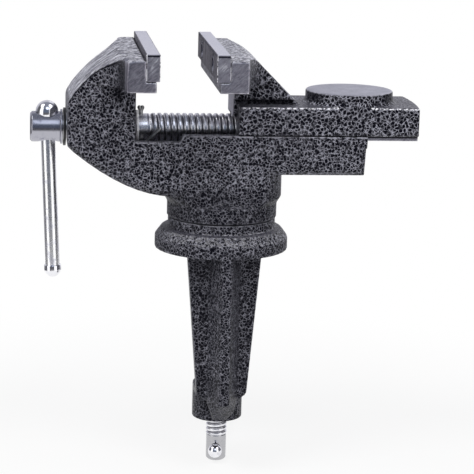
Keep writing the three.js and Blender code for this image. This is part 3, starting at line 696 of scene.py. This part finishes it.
def thread_material(name, centre, axes, root, crest, groove_grey):
    """Zinc on a thread: worn bright crests, and a darker grey towards the bottom of the grooves."""
    material, tree, shader = new_material(name)
    stain = tree.noise(tree.place(), 500, 4.0, 0.6)
    groove = groove_share(tree, centre, axes, root, crest)
    colour = tree.mix(tree.ramp(stain, 0.35, 0.65), grey(0.95, 0.03), grey(0.7, 0.06))
    colour = tree.mix(groove, colour, grey(groove_grey, 0.1))
    finish(tree, shader, colour, 1.0, tree.scaled(groove, 0.2, 0.27), tree.bump(stain, 0.2, 0.0001))
    return material


def zinc_material(name, turned_scale, tint=0.72, rough=0.12, metallic=1.0, blue=0.04):
    """Bright zinc over turned steel, with fine rings, soft stains and small scratches."""
    material, tree, shader = new_material(name)
    place = tree.place()
    rings = grain(tree, place, turned_scale, None, 3.0, 0.6)
    stain = tree.noise(place, 240, 4.0, 0.6)
    scratch = grain(tree, place, SCRATCHES, SCRATCH_TURN, 2.0, 0.5)
    dull = tree.either(tree.ramp(stain, 0.5, 0.75), tree.ramp(scratch, 0.68, 0.8))
    colour = tree.mix(dull, grey(tint * CLEAN, blue), grey(tint * STAINED, blue * 2))
    rough = tree.math("ADD", tree.scaled(rings, 0.12, rough), tree.every(dull, 0.12))
    finish(tree, shader, colour, metallic, rough, tree.bump(rings, 0.18, 0.00005))
    return material


def dull_material(name, light, dark, metallic, rough):
    """Steel with a matt grain and soft clouds of colour."""
    material, tree, shader = new_material(name)
    place = tree.place()
    fine = tree.noise(place, 1500, 3.0)
    cloud = tree.noise(place, 200, 3.0)
    colour = tree.mix(tree.ramp(cloud, 0.3, 0.7), dark, light)
    finish(tree, shader, colour, metallic, tree.scaled(fine, 0.3, rough),
           tree.bump(fine, 0.3, 0.0001))
    return material


HEAD_PAINT = casting_material("head_paint", 1.4 * MM, 0.9, 0.1, bare_on_head)
SLIDE_PAINT = casting_material("slide_paint", 1.65 * MM, 1.0, 0.9, bare_on_slide)
BASE_PAINT = casting_material("base_paint", 1.35 * MM, 0.7, 0.15, bare_on_base)
PLATE_STEEL = plate_material("plate_steel")
ZINC_X = zinc_material("zinc_along_x", (4200, 50, 50), 0.41, 0.17, blue=0.12)
ZINC_Y = zinc_material("zinc_along_y", (50, 4200, 50))
ZINC_Z = zinc_material("zinc_along_z", (50, 50, 4200), 0.92, 0.20)
ZINC_SHANK = zinc_material("zinc_shank", (3000, 300, 300), 0.8, 0.16)
ZINC_CLAMP = zinc_material("zinc_clamp", (300, 300, 2200), 0.44, 0.16)
ZINC_PAD = zinc_material("zinc_pad", (300, 300, 2200), 0.30, 0.22)
ZINC_BRIGHT = zinc_material("zinc_bright", (300, 300, 300), 0.8, 0.04)
ZINC_MATT = zinc_material("zinc_matt", (600, 600, 600), 0.89, 0.38, 0.1)
SPINDLE_THREAD = thread_material("spindle_thread", (0, SCREW_Z), (1, 2), THREAD_ROOT,
                                 THREAD_RADIUS - 0.7, 0.06)
CLAMP_THREAD = thread_material("clamp_thread", (0, 0), (0, 1), CLAMP_ROOT,
                               CLAMP_RADIUS - 0.3, 0.16)
BLACK_STEEL = dull_material("black_steel", grey(0.09), grey(0.03), 0.9, 0.22)
PIN_STEEL = dull_material("pin_steel", grey(0.45), grey(0.15), 0.9, 0.22)
CAST_IRON = dull_material("cast_iron", grey(0.24), grey(0.12), 0.7, 0.4)


# Mesh building, in millimetres

ROUND_STEPS = 72
BALL_STEPS = 36
WIRE_STEPS = 20
CORNER_STEPS = 4
BEND_STEPS = 8
SIDE_SHARE = 0.45
AXIS_RADIUS = 0.01
DOME_ANGLES = (80, 60, 40, 20)
THREAD_ROWS = 18
CREST_BREADTH = 1.4
THREAD_CLOSING = (0.8, 0.25)
SHARP_ANGLE = 32
THREAD_SHARP = 70


def joined(*forms):
    """One form from several, each a list of points and a list of faces."""
    points, faces = [], []
    for more_points, more_faces in forms:
        start = len(points)
        points.extend(more_points)
        faces.extend(tuple(start + index for index in face) for face in more_faces)
    return points, faces


def moved(form, matrix):
    return [tuple(matrix @ Vector(point)) for point in form[0]], form[1]


def loft(rings, loop=False):
    """Faces between rings of equal count. A loop's last ring meets its first."""
    count = len(rings[0])
    points = [point for ring in rings for point in ring]
    faces = []
    for row in range(len(rings) if loop else len(rings) - 1):
        here, there = row * count, (row + 1) % len(rings) * count
        for index in range(count):
            beside = (index + 1) % count
            faces.append((here + index, here + beside, there + beside, there + index))
    if not loop:
        last = (len(rings) - 1) * count
        faces.append(tuple(range(count))[::-1])
        faces.append(tuple(range(last, last + count)))
    return points, faces


def circle(radius, along, steps=ROUND_STEPS):
    return [(radius * cos(2 * pi * i / steps),
             radius * sin(2 * pi * i / steps), along) for i in range(steps)]


def rounded(corners, reach, loop=False, steps=CORNER_STEPS):
    """An outline whose corners are worn round, over the given reach along each side."""
    result = []
    count = len(corners)
    for index, corner in enumerate(corners):
        if not loop and index in (0, count - 1):
            result.append(corner)
            continue
        here = Vector(corner)
        before = Vector(corners[index - 1]) - here
        after = Vector(corners[(index + 1) % count]) - here
        start = here + before.normalized() * min(reach, before.length * SIDE_SHARE)
        end = here + after.normalized() * min(reach, after.length * SIDE_SHARE)
        for step in range(steps + 1):
            t = step / steps
            result.append(tuple(start * (1 - t) ** 2 + here * 2 * t * (1 - t) + end * t ** 2))
    return result


def turned(outline, reach, loop=False):
    """A body of revolution about Z from (radius, along) corners."""
    return loft([circle(*corner) for corner in rounded(outline, reach, loop)], loop)


def turned_solid(outline, reach):
    """A body of revolution that is closed on its axis at both ends."""
    first, last = outline[0][1], outline[-1][1]
    return turned([(AXIS_RADIUS, first)] + outline + [(AXIS_RADIUS, last)], reach)


def hexagon(across, along, limit):
    """A ring on a hexagon whose corners are cut back to a circle."""
    ring = []
    for index in range(ROUND_STEPS):
        angle = 2 * pi * index / ROUND_STEPS
        off = (angle + pi / 6) % (pi / 3) - pi / 6
        radius = min(across / 2 / cos(off), limit)
        ring.append((radius * cos(angle), radius * sin(angle), along))
    return ring


def thread_form(crest, root, pitch, start, end, run_in, core):
    """A screw thread about Z with round crests, which fades into its core at the start."""
    rows = int((end - start) / pitch * THREAD_ROWS)
    slope, least = THREAD_CLOSING
    rings = [circle(core, start)]
    for row in range(rows + 1):
        along = start + (end - start) * row / rows
        fade = min(1.0, (along - start) / run_in) if run_in else 1.0
        close = min(1.0, (end - along) / (crest - root) * slope + least)
        ring = []
        for index in range(ROUND_STEPS):
            angle = 2 * pi * index / ROUND_STEPS
            phase = (along / pitch - index / ROUND_STEPS) % 1.0
            rise = sin(pi / 2 * min(1.0, (1 - abs(2 * phase - 1)) * CREST_BREADTH))
            radius = root + (crest - root) * rise
            radius = core + (radius - core) * fade
            radius = min(radius, root + (crest - root) * close)
            ring.append((radius * cos(angle), radius * sin(angle), along))
        rings.append(ring)
    return loft(rings)


def tube(path, radius):
    """A round wire along a path, with domed ends."""
    path = [Vector(point) for point in path]
    ahead = [(b - a).normalized() for a, b in zip(path, path[1:])]
    ahead.append(ahead[-1])
    dome = [radians(angle) for angle in DOME_ANGLES]
    first, last = path[0], path[-1]
    stations = [(first + ahead[0] * radius * (1 - sin(a)), radius * cos(a), ahead[0])
                for a in dome]
    stations += [(first + ahead[0] * radius, radius, ahead[0])]
    stations += [(point, radius, way) for point, way in zip(path[1:-1], ahead[1:])]
    stations += [(last - ahead[-1] * radius * (1 - sin(a)), radius * cos(a), ahead[-1])
                 for a in [0] + dome[::-1]]
    side = ahead[0].orthogonal().normalized()
    rings = []
    for centre, size, way in stations:
        side = (side - way * side.dot(way)).normalized()
        across = way.cross(side)
        rings.append([tuple(centre + (side * cos(2 * pi * i / WIRE_STEPS)
                                      + across * sin(2 * pi * i / WIRE_STEPS)) * size)
                      for i in range(WIRE_STEPS)])
    return loft(rings)


def bent(corners, reach):
    """A path whose corners bend over the given reach."""
    return rounded(corners, reach, steps=BEND_STEPS)


def box_form(half_x, half_y, half_z, z):
    corners = [(-half_x, -half_y), (half_x, -half_y), (half_x, half_y), (-half_x, half_y)]
    return loft([[(x, y, z + rise) for x, y in corners] for rise in (-half_z, half_z)])


def ball_form(radius, rise):
    angles = [pi * (step / BALL_STEPS - 0.5) for step in range(BALL_STEPS + 1)]
    return loft([circle(max(radius * cos(angle), AXIS_RADIUS), rise + radius * sin(angle))
                 for angle in angles])


def mesh_of(name, form):
    points, faces = form
    mesh = bpy.data.meshes.new(name)
    mesh.from_pydata([tuple(c * MM for c in point) for point in points], [], faces)
    shape = bmesh.new()
    shape.from_mesh(mesh)
    bmesh.ops.recalc_face_normals(shape, faces=shape.faces)
    shape.to_mesh(mesh)
    shape.free()
    mesh.update()
    return mesh


def link(name, mesh, material):
    mesh.materials.clear()
    mesh.materials.append(material)
    return in_scene(name, mesh)


def apply_modifiers(piece):
    graph = bpy.context.evaluated_depsgraph_get()
    mesh = bpy.data.meshes.new_from_object(piece.evaluated_get(graph))
    piece.modifiers.clear()
    old = piece.data
    piece.data = mesh
    bpy.data.meshes.remove(old)


def cut_away(piece, form):
    cutter = link(f"{piece.name}_cutter", mesh_of("cutter", form), piece.data.materials[0])
    change = piece.modifiers.new("cut", "BOOLEAN")
    change.operation = "DIFFERENCE"
    change.solver = "EXACT"
    change.object = cutter
    apply_modifiers(piece)
    old = cutter.data
    bpy.data.objects.remove(cutter)
    bpy.data.meshes.remove(old)


def add_piece(name, form, material, body, nodes, cuts=(), sharp=SHARP_ANGLE):
    """A detailed piece that rides on a body and stands for the named nodes."""
    piece = link(name, mesh_of(name, form), material)
    for cutter in cuts:
        cut_away(piece, cutter)
    piece.data.shade_smooth()
    piece.data.set_sharp_from_angle(angle=radians(sharp))
    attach(piece, body)
    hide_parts(*nodes)
    return piece


# Castings

CAST_CELL = 0.38
CAST_ROUNDS = 4
RIDGE_ROUNDS = 60
EASE_STEP = 0.6
GROUND_EASE = 0.35
CLOSE_EASE = 0.05
GROUND_LOW = JAW_BOTTOM + 3
WELD = 1e-6
BED_EDGE = 1.5
BED_EDGE_START = -18
TONGUE_EDGE = 2
BLOCK_BACK = BLOCK_DEPTH + 1


def points_of(mesh):
    points = np.empty(len(mesh.vertices) * 3)
    mesh.vertices.foreach_get("co", points)
    return points.reshape(-1, 3)


def eased(mesh, rounds, weights):
    """Moves every point towards its neighbours, as far as its own weight says."""
    count = len(mesh.vertices)
    points = points_of(mesh)
    ends = np.empty(len(mesh.edges) * 2, dtype=np.int64)
    mesh.edges.foreach_get("vertices", ends)
    a, b = ends[0::2], ends[1::2]
    degree = np.bincount(ends, minlength=count)[:, None]
    share = EASE_STEP * weights(points / MM)[:, None]
    for _ in range(rounds):
        total = np.stack([np.bincount(a, points[b, axis], count)
                          + np.bincount(b, points[a, axis], count) for axis in range(3)], axis=1)
        points += (total / degree - points) * share
    mesh.vertices.foreach_set("co", points.ravel())
    mesh.update()


def swelled_slope(points):
    """The long slope behind the fixed jaw swells out a little between its two ends."""
    start = np.array(SLOPE_LOW)
    along = np.array(SLOPE_HIGH) - start
    length = np.hypot(*along)
    along /= length
    outward = np.array((-along[1], along[0]))
    place = points[:, (0, 2)] - start
    run = np.clip(place @ along / length, 0, 1)
    depth = np.abs(place @ outward)
    reach = np.clip((SLOPE_SKIN - depth) / SLOPE_SKIN * 2, 0, 1)
    swell = SLOPE_SWELL * np.sin(run * pi) * reach
    points[:, 0] += swell * outward[0]
    points[:, 2] += swell * outward[1]


def cast_from(node, weights, material, body, ridges=None, swelled=None):
    """A cast form: the node's solid made anew in small cells, with its edges worn round."""
    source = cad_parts[node]
    piece = link(f"{node}_cast", source.data.copy(), material)
    shape = bmesh.new()
    shape.from_mesh(piece.data)
    bmesh.ops.remove_doubles(shape, verts=shape.verts, dist=WELD)
    shape.to_mesh(piece.data)
    shape.free()
    cells = piece.modifiers.new("cells", "REMESH")
    cells.mode = "VOXEL"
    cells.voxel_size = CAST_CELL * MM
    apply_modifiers(piece)
    eased(piece.data, CAST_ROUNDS, weights)
    if swelled:
        points = points_of(piece.data) / MM
        swelled(points)
        piece.data.vertices.foreach_set("co", (points * MM).ravel())
    if ridges:
        eased(piece.data, RIDGE_ROUNDS, ridges)
    piece.data.shade_smooth()
    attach(piece, body)
    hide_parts(node)
    return piece


def crisp_on_head(points):
    """Ground faces and the edges beside the sliding jaw keep sharper edges than the rest."""
    x, z = points[:, 0], points[:, 2]
    weights = np.ones(len(points))
    weights[(z > GROUND_LOW) & (x > FIXED_GRIP - BLOCK_BACK)] = GROUND_EASE
    weights[(np.abs(z - BED_TOP) < BED_EDGE) & (x > BED_EDGE_START)] = CLOSE_EASE
    return weights


def crisp_on_slide(points):
    x, z = points[:, 0], points[:, 2]
    weights = np.ones(len(points))
    weights[(z > GROUND_LOW) & (x < MOVING_GRIP + BLOCK_BACK)] = GROUND_EASE
    weights[z < BED_TOP + TONGUE_EDGE] = CLOSE_EASE
    return weights


def even(points):
    return np.ones(len(points))


def head_ridges(points):
    """The ridge between the crown and the slope is worn away more than other edges."""
    x, z = points[:, 0], points[:, 2]
    return np.clip(1 - np.hypot(x - RIDGE_X, z - RIDGE_Z) / RIDGE_REACH, 0, 1)


# Jaw plates and their screws

PLATE_HOLE_OUTLINE = [(PLATE_HOLE_HEAD, -2), (PLATE_HOLE_HEAD, 0.9), (PLATE_HOLE_BORE, 3.4),
                      (PLATE_HOLE_BORE, 9)]
DRAWN_SHARE = 0.01


def jaw_plate(name, grip, away, body, node):
    """A toothed plate. The outline in X and Y rises, drawn in a little at both ends."""
    face = []
    for tooth in range(int(2 * JAW_HALF / TOOTH_PITCH)):
        y = -JAW_HALF + TOOTH_PITCH * (tooth + 0.5)
        face += [(0, y - TOOTH_HALF), (TOOTH_DEPTH, y), (0, y + TOOTH_HALF)]
    edge = PLATE_EDGE
    outline = [(edge, -JAW_HALF), (0, edge - JAW_HALF)] + face + [(0, JAW_HALF - edge)]
    outline += [(edge, JAW_HALF), (PLATE_DEPTH - edge, JAW_HALF), (PLATE_DEPTH, JAW_HALF - edge),
                (PLATE_DEPTH, edge - JAW_HALF), (PLATE_DEPTH - edge, -JAW_HALF)]
    rings = []
    for z, inset in [(PLATE_BOTTOM, edge), (PLATE_BOTTOM + edge, 0),
                     (PLATE_TOP - edge, 0), (PLATE_TOP, edge)]:
        ring = []
        for depth, y in outline:
            drawn = max(min(depth, PLATE_DEPTH - inset), inset + depth * DRAWN_SHARE)
            ring.append((grip + away * drawn, y * (1 - inset / JAW_HALF), z))
        rings.append(ring)
    hole = turned_solid(PLATE_HOLE_OUTLINE, CRISP_EDGE)
    cuts = [moved(hole, screw_frame(grip, away, side)) for side in (-1, 1)]
    return add_piece(name, loft(rings), PLATE_STEEL, body, [node], cuts)


def screw_frame(grip, away, side):
    """The frame of a plate screw: Z runs into the jaw from its grip face."""
    turn = Matrix.Rotation(radians(90 * away), 4, "Y")
    z = (PLATE_TOP + PLATE_BOTTOM) / 2
    return Matrix.Translation((grip, side * PLATE_SCREW_Y, z)) @ turn


def plate_screw(name, grip, away, side, body, node):
    start = PLATE_SCREW_SUNK
    form = turned_solid([(PLATE_SCREW_HEAD, start), (PLATE_SCREW_HEAD, start + PLATE_SCREW_EDGE),
                         (PLATE_SCREW_SHANK, start + PLATE_SCREW_CONE),
                         (PLATE_SCREW_SHANK, start + PLATE_SCREW_REACH)], PLAY)
    place = screw_frame(grip, away, side)
    slot = moved(box_form(*SLOT_HALVES, start), place)
    return add_piece(name, moved(form, place), ZINC_X, body, [node], [slot])


# Spindle

ALONG_SCREW = Matrix(((0, 0, 1, 0), (1, 0, 0, 0), (0, 1, 0, SCREW_Z), (0, 0, 0, 1)))
LEANING = Matrix.Translation((BAR_X, 0, SCREW_Z)) @ Matrix.Rotation(
    radians(-BAR_LEAN), 4, "Y")
BAR_HOLE_OUTLINE = [(5.95, -9), (4.35, -6.1), (BAR_HOLE, -4.9), (BAR_HOLE, 5), (BAR_HOLE, 9)]


def spindle_pieces():
    step = BARREL_END + BARREL_GAP
    head = turned_solid([(BARREL_FACE - SOFT_EDGE, BARREL_START), (BARREL_FACE, BARREL_START),
                         (BARREL_RADIUS, BARREL_START + CHAMFER), (BARREL_RADIUS, BARREL_END),
                         (BARREL_RADIUS - BARREL_GROOVE, BARREL_END + BARREL_GAP / 2),
                         (COLLAR_RADIUS, step), (COLLAR_RADIUS, COLLAR_END),
                         (SHANK_RADIUS, COLLAR_END)], SOFT_EDGE)
    bore = turned_solid(BAR_HOLE_OUTLINE, 0.05)
    seat = ball_form(BALL_RADIUS + PLAY, BALL_RISE)
    add_piece("spindle_head", moved(head, ALONG_SCREW), ZINC_X, "screw", ["spindle"],
              [moved(bore, LEANING), moved(seat, LEANING)])
    shank = turned_solid([(SHANK_RADIUS, COLLAR_END), (SHANK_RADIUS, THREAD_START)], CRISP_EDGE)
    add_piece("spindle_shank", moved(shank, ALONG_SCREW), ZINC_SHANK, "screw",
              ["spindle"])
    screw = thread_form(THREAD_RADIUS, THREAD_ROOT, THREAD_PITCH, THREAD_START - THREAD_LAP,
                        THREAD_END, THREAD_RUN_IN, SHANK_RADIUS - CRISP_EDGE)
    add_piece("spindle_thread", moved(screw, ALONG_SCREW), SPINDLE_THREAD, "screw",
              ["spindle"], sharp=THREAD_SHARP)


def washer(name, radius, start, material, node):
    form = turned([(WASHER_BORE, start), (radius, start), (radius, start + WASHER_THICKNESS),
                   (WASHER_BORE, start + WASHER_THICKNESS)], SOFT_EDGE, loop=True)
    return add_piece(name, moved(form, ALONG_SCREW), material, "screw", [node])


def split_pin():
    """Both legs pass down through the spindle. One is bent out to the front and up."""
    fork = RETAINER_RADIUS
    out = SHANK_RADIUS + PIN_RADIUS
    spread = radians(PRONG_SPREAD)
    reach_x, reach_z = PRONG_LENGTH * sin(spread), PRONG_LENGTH * cos(spread)
    forms = [tube(bent([(0, 0, fork - PRONG_ROOT), (0, 0, fork),
                        (side * reach_x, 0, fork + reach_z)], PRONG_BEND), PRONG_RADIUS)
             for side in (-1, 1)]
    leg = bent([(0, 0, fork), (0, 0, -out), (PIN_RADIUS, -PIN_SIDE, -out + PIN_DROP),
                (PIN_RUN, -PIN_SIDE, PIN_RISE - out)], PIN_BEND)
    forms.append(tube(leg, PIN_RADIUS))
    place = Matrix.Translation((PIN_X, 0, SCREW_Z))
    return add_piece("split_pin_wire", moved(joined(*forms), place), PIN_STEEL,
                     "screw", ["split_pin"])


def handle_pieces():
    bar = turned_solid([(BAR_RADIUS - PLAY, CAP_TOP - CAP_SOCKET), (BAR_RADIUS, CAP_TOP + PLAY),
                        (BAR_RADIUS, BALL_RISE)], FINE_EDGE)
    low = CAP_TOP - CAP_LENGTH
    cap = turned_solid([(CAP_FLAT, low - CAP_CONE), (CAP_RADIUS - CAP_STEP, low - CHAMFER),
                        (CAP_RADIUS, low), (CAP_RADIUS, CAP_TOP),
                        (BAR_RADIUS - SOFT_EDGE, CAP_TOP)], CAP_STEP)
    ball = ball_form(BALL_RADIUS, BALL_RISE)
    for name, form, material, node in (("handle_bar_rod", bar, ZINC_Z, "handle_bar"),
                                       ("handle_ball_knob", ball, ZINC_BRIGHT, "handle_ball"),
                                       ("handle_cap_end", cap, ZINC_BRIGHT, "handle_cap")):
        add_piece(name, moved(form, LEANING), material, "handle", [node])


# Clamp

CLAMP_HOLE_OUTLINE = [(CLAMP_HOLE_MOUTH, -8), (CLAMP_HOLE, -3.9), (CLAMP_HOLE, 3.9),
                      (CLAMP_HOLE_MOUTH, 8)]


def clamp_pieces():
    bar_frame = (Matrix.Translation((0, 0, CLAMP_HOLE_Z))
                 @ Matrix.Rotation(radians(-CLAMP_TURN), 4, "Z")
                 @ Matrix.Rotation(radians(90), 4, "X"))
    head = turned_solid([(CLAMP_HEAD_RADIUS - CHAMFER, CLAMP_BOTTOM),
                         (CLAMP_HEAD_RADIUS, CLAMP_BOTTOM + CHAMFER),
                         (CLAMP_HEAD_RADIUS, CLAMP_HEAD_TOP),
                         (CLAMP_ROOT, CLAMP_HEAD_TOP + CLAMP_HEAD_CONE)], SOFT_EDGE)
    hole = turned_solid(CLAMP_HOLE_OUTLINE, CRISP_EDGE)
    add_piece("clamp_screw_head", head, ZINC_CLAMP, "clamp", ["clamp_screw"],
              [moved(hole, bar_frame)])
    screw = thread_form(CLAMP_RADIUS, CLAMP_ROOT, CLAMP_PITCH, CLAMP_HEAD_TOP + CLAMP_THREAD_RISE,
                        CLAMP_TIP, 0, CLAMP_ROOT)
    add_piece("clamp_screw_thread", screw, CLAMP_THREAD, "clamp", ["clamp_screw"],
              sharp=THREAD_SHARP)
    bar = turned_solid([(CLAMP_BAR_RADIUS, -CLAMP_BALL_REAR), (CLAMP_BAR_RADIUS, CLAMP_BALL_FRONT)],
                       FINE_EDGE)
    add_piece("clamp_bar_rod", moved(bar, bar_frame), ZINC_Y, "clamp_handle",
              ["clamp_bar"])
    for end, along in (("front", CLAMP_BALL_FRONT), ("rear", -CLAMP_BALL_REAR)):
        add_piece(f"clamp_ball_{end}_knob", moved(ball_form(CLAMP_BALL_RADIUS, along), bar_frame),
                  ZINC_BRIGHT, "clamp_handle", [f"clamp_ball_{end}"])


def clamp_pad():
    """A dished cup on a neck, with the rounded tip of the clamp screw inside."""
    rim, dish = PAD_TOP - PAD_RIM, PAD_TOP - PAD_DISH
    top = PAD_TOP - PAD_TIP
    tip = turned([(PAD_BORE, top - PAD_DISH), (PAD_BORE - PAD_DISH, top), (AXIS_RADIUS, top)],
                 SOFT_EDGE)
    cup = turned([(PAD_BORE, PAD_BOTTOM), (PAD_NECK, PAD_BOTTOM), (PAD_NECK, rim - PAD_CONE),
                  (PAD_RADIUS - PAD_DISH, rim), (PAD_RADIUS, rim + PAD_EDGE), (PAD_RADIUS, PAD_TOP),
                  (PAD_RADIUS - PAD_LAND, PAD_TOP), (PAD_RADIUS - PAD_LAND - PAD_DISH, dish),
                  (PAD_BORE, dish)], PAD_ROUNDING, loop=True)
    add_piece("clamp_pad_cup", joined(cup, tip), ZINC_PAD, "pad", ["clamp_pad"])


def lock_screw():
    frame_y = Matrix.Translation((0, 0, LOCK_Z)) @ Matrix.Rotation(radians(-90), 4, "X")
    start, end = LOCK_HEAD_START, LOCK_HEAD_END
    flat = LOCK_ACROSS / 2
    widest = flat / cos(pi / 6)
    rings = [(start, flat - PLAY), (start + LOCK_CHAMFER, widest), (end - LOCK_CROWN, widest),
             (end - LOCK_CHAMFER, flat), (end, flat - LOCK_DEPTH)]
    head = loft([hexagon(LOCK_ACROSS, along, limit) for along, limit in rings])
    shank = thread_form(LOCK_RADIUS, LOCK_RADIUS - LOCK_DEPTH, LOCK_PITCH, LOCK_TIP, start + PLAY,
                        0, LOCK_CORE)
    add_piece("swivel_lock_bolt", moved(joined(head, shank), frame_y), ZINC_Y, "lock",
              ["swivel_lock_screw"])


def dress(node, material):
    """A solid that is shown as it is gets a material."""
    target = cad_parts[node]
    target.data.materials.clear()
    target.data.materials.append(material)


# Floor, world and lamps

WHITE = grey(1.0)
FLOOR_GREY = grey(0.75)
FLOOR_FADE = (0.12, 0.3)
FLOOR_GLOW = 0.84
ROOM = grey(0.12, 0.1)
ROOM_FRONT = (0.12, 0.145, 0.20, 1)
ROOM_ABOVE = (0.24, 0.255, 0.31, 1)
BACKDROP_LEFT = (0.60, 0.60, 0.66, 1)
BACKDROP_RIGHT = (0.98, 0.98, 1.04, 1)
STRIP_LIGHT = grey(1.35)
STRIP_AZIMUTHS = (-60, 40)
STRIP_HALF = 18
LIGHT_SOFTNESS = 4
PLAIN_LOW = grey(0.12)
PLAIN_HIGH = grey(0.5, 0.03)
# Azimuth, height, half width in degrees, colour
SOFTBOXES = [
    (-86, 54, 15, grey(2.4)),
    (66, 56, 15, grey(2.4)),
    (4, 40, 15, (1.25, 1.35, 1.55, 1)),
]
# Name, azimuth, height, distance, size, power
LAMPS = [
    ("key", -52, 56, 1.3, 0.5, 8.0),
    ("fill", 30, 58, 1.3, 0.5, 6.0),
]


def seen_rays(tree, *names):
    rays = tree.new("LightPath", {})
    return tree.either(*[rays[name] for name in names])


def stage_floor():
    """A floor that glows white for the camera and still takes the object's shadow."""
    rings = [circle(FLOOR_RADIUS, z, FLOOR_STEPS) for z in (FLOOR_Z - FLOOR_THICKNESS, FLOOR_Z)]
    material = bpy.data.materials.new("floor")
    tree = Tree(material)
    x, y, _ = tree.split(tree.place())
    far = tree.math("SQRT", tree.math("ADD", tree.every(x, x), tree.every(y, y)))
    diffuse = tree.new("BsdfDiffuse", {0: FLOOR_GREY})[0]
    glow = tree.new("Emission", {0: WHITE})[0]
    seen = seen_rays(tree, "Is Camera Ray", "Is Glossy Ray", "Is Transmission Ray")
    share = tree.scaled(tree.ramp(far, *FLOOR_FADE), 1 - FLOOR_GLOW, FLOOR_GLOW)
    blend = tree.new("MixShader", {0: tree.every(seen, share), 1: diffuse, 2: glow})[0]
    tree.new("OutputMaterial", {0: blend})
    floor = link("floor", mesh_of("floor", loft(rings)), material)


def add_lamps():
    for name, azimuth, height, distance, size, power in LAMPS:
        data = bpy.data.lights.new(name, "AREA")
        data.shape = "DISK"
        data.size = size
        data.energy = power
        lamp = in_scene(name, data)
        lamp.visible_glossy = False
        back = from_angles(azimuth, height)
        lamp.location = back * distance
        lamp.rotation_mode = "QUATERNION"
        lamp.rotation_quaternion = back.to_track_quat("Z", "Y")


def light_room():
    """White for the camera. Metal sees a dim room, a pale backdrop, strip lights and softboxes."""
    world = bpy.data.worlds.new("studio")
    bpy.context.scene.world = world
    tree = Tree(world)
    direction = tree.new("TexCoord", {})["Generated"]
    x, y, z = tree.split(direction)
    ahead = tree.every(y, -1.0)
    front = tree.every(tree.ramp(ahead, 0.2, 0.6), tree.ramp(z, -0.15, 0.0))
    behind = tree.every(tree.ramp(y, 0.3, 0.75), tree.ramp(z, -0.3, -0.1))
    backdrop = tree.mix(tree.ramp(x, 0.12, 0.28), BACKDROP_LEFT, BACKDROP_RIGHT)
    room = tree.mix(front, ROOM, ROOM_FRONT)
    room = tree.mix(tree.ramp(z, 0.55, 0.95), room, ROOM_ABOVE)
    room = tree.mix(behind, room, backdrop)
    around = tree.math("ARCTAN2", x, ahead)
    outer, inner = (radians(STRIP_HALF + soft) for soft in (LIGHT_SOFTNESS, -LIGHT_SOFTNESS))
    strips = []
    for middle in STRIP_AZIMUTHS:
        off = tree.math("ABSOLUTE", tree.math("SUBTRACT", around, radians(middle)))
        strips.append(tree.ramp(off, outer, inner))
    tall = tree.every(tree.ramp(z, -0.6, -0.4), tree.ramp(z, 0.8, 0.6))
    room = tree.mix(tree.every(tree.either(*strips), tall), room, STRIP_LIGHT)
    for azimuth, height, half, light in SOFTBOXES:
        nearness = tree.new("VectorMath", {0: direction, 1: from_angles(azimuth, height)},
                            operation="DOT_PRODUCT")["Value"]
        outer, inner = (cos(radians(half + soft))
                        for soft in (LIGHT_SOFTNESS, -LIGHT_SOFTNESS))
        room = tree.mix(tree.ramp(nearness, outer, inner), room, light)
    plain = tree.mix(tree.ramp(z, -0.3, 0.3), PLAIN_LOW, PLAIN_HIGH)
    colour = tree.mix(seen_rays(tree, "Is Glossy Ray"), plain, room)
    colour = tree.mix(seen_rays(tree, "Is Camera Ray", "Is Transmission Ray"), colour, WHITE)
    background = tree.new("Background", {0: colour})[0]
    tree.new("OutputWorld", {0: background})


place_camera()
stage_floor()
light_room()
add_lamps()

cast_from("head_casting", crisp_on_head, HEAD_PAINT, "head", head_ridges, swelled_slope)
cast_from("sliding_jaw", crisp_on_slide, SLIDE_PAINT, "jaw")
cast_from("clamp_base", even, BASE_PAINT, "base")

for side_name, grip, away, body in (("fixed", FIXED_GRIP, -1, "head"),
                                    ("sliding", MOVING_GRIP, 1, "jaw")):
    jaw_plate(f"{side_name}_plate_toothed", grip, away, body, f"{side_name}_jaw_plate")
    for place_name, side in (("front", -1), ("rear", 1)):
        node = f"{side_name}_plate_screw_{place_name}"
        plate_screw(f"{node}_slotted", grip, away, side, body, node)

spindle_pieces()
washer("thrust_washer_ring", THRUST_RADIUS, THRUST_START, BLACK_STEEL,
       "thrust_washer")
washer("retaining_washer_ring", RETAINER_RADIUS, RETAINER_START, ZINC_MATT,
       "retaining_washer")
split_pin()
handle_pieces()
clamp_pieces()
clamp_pad()
lock_screw()

dress("spindle_nut", CAST_IRON)
for number in range(1, 5):
    dress(f"nut_screw_{number}", BLACK_STEEL)

bpy.context.scene.view_settings.view_transform = "Standard"
bpy.context.view_layer.update()
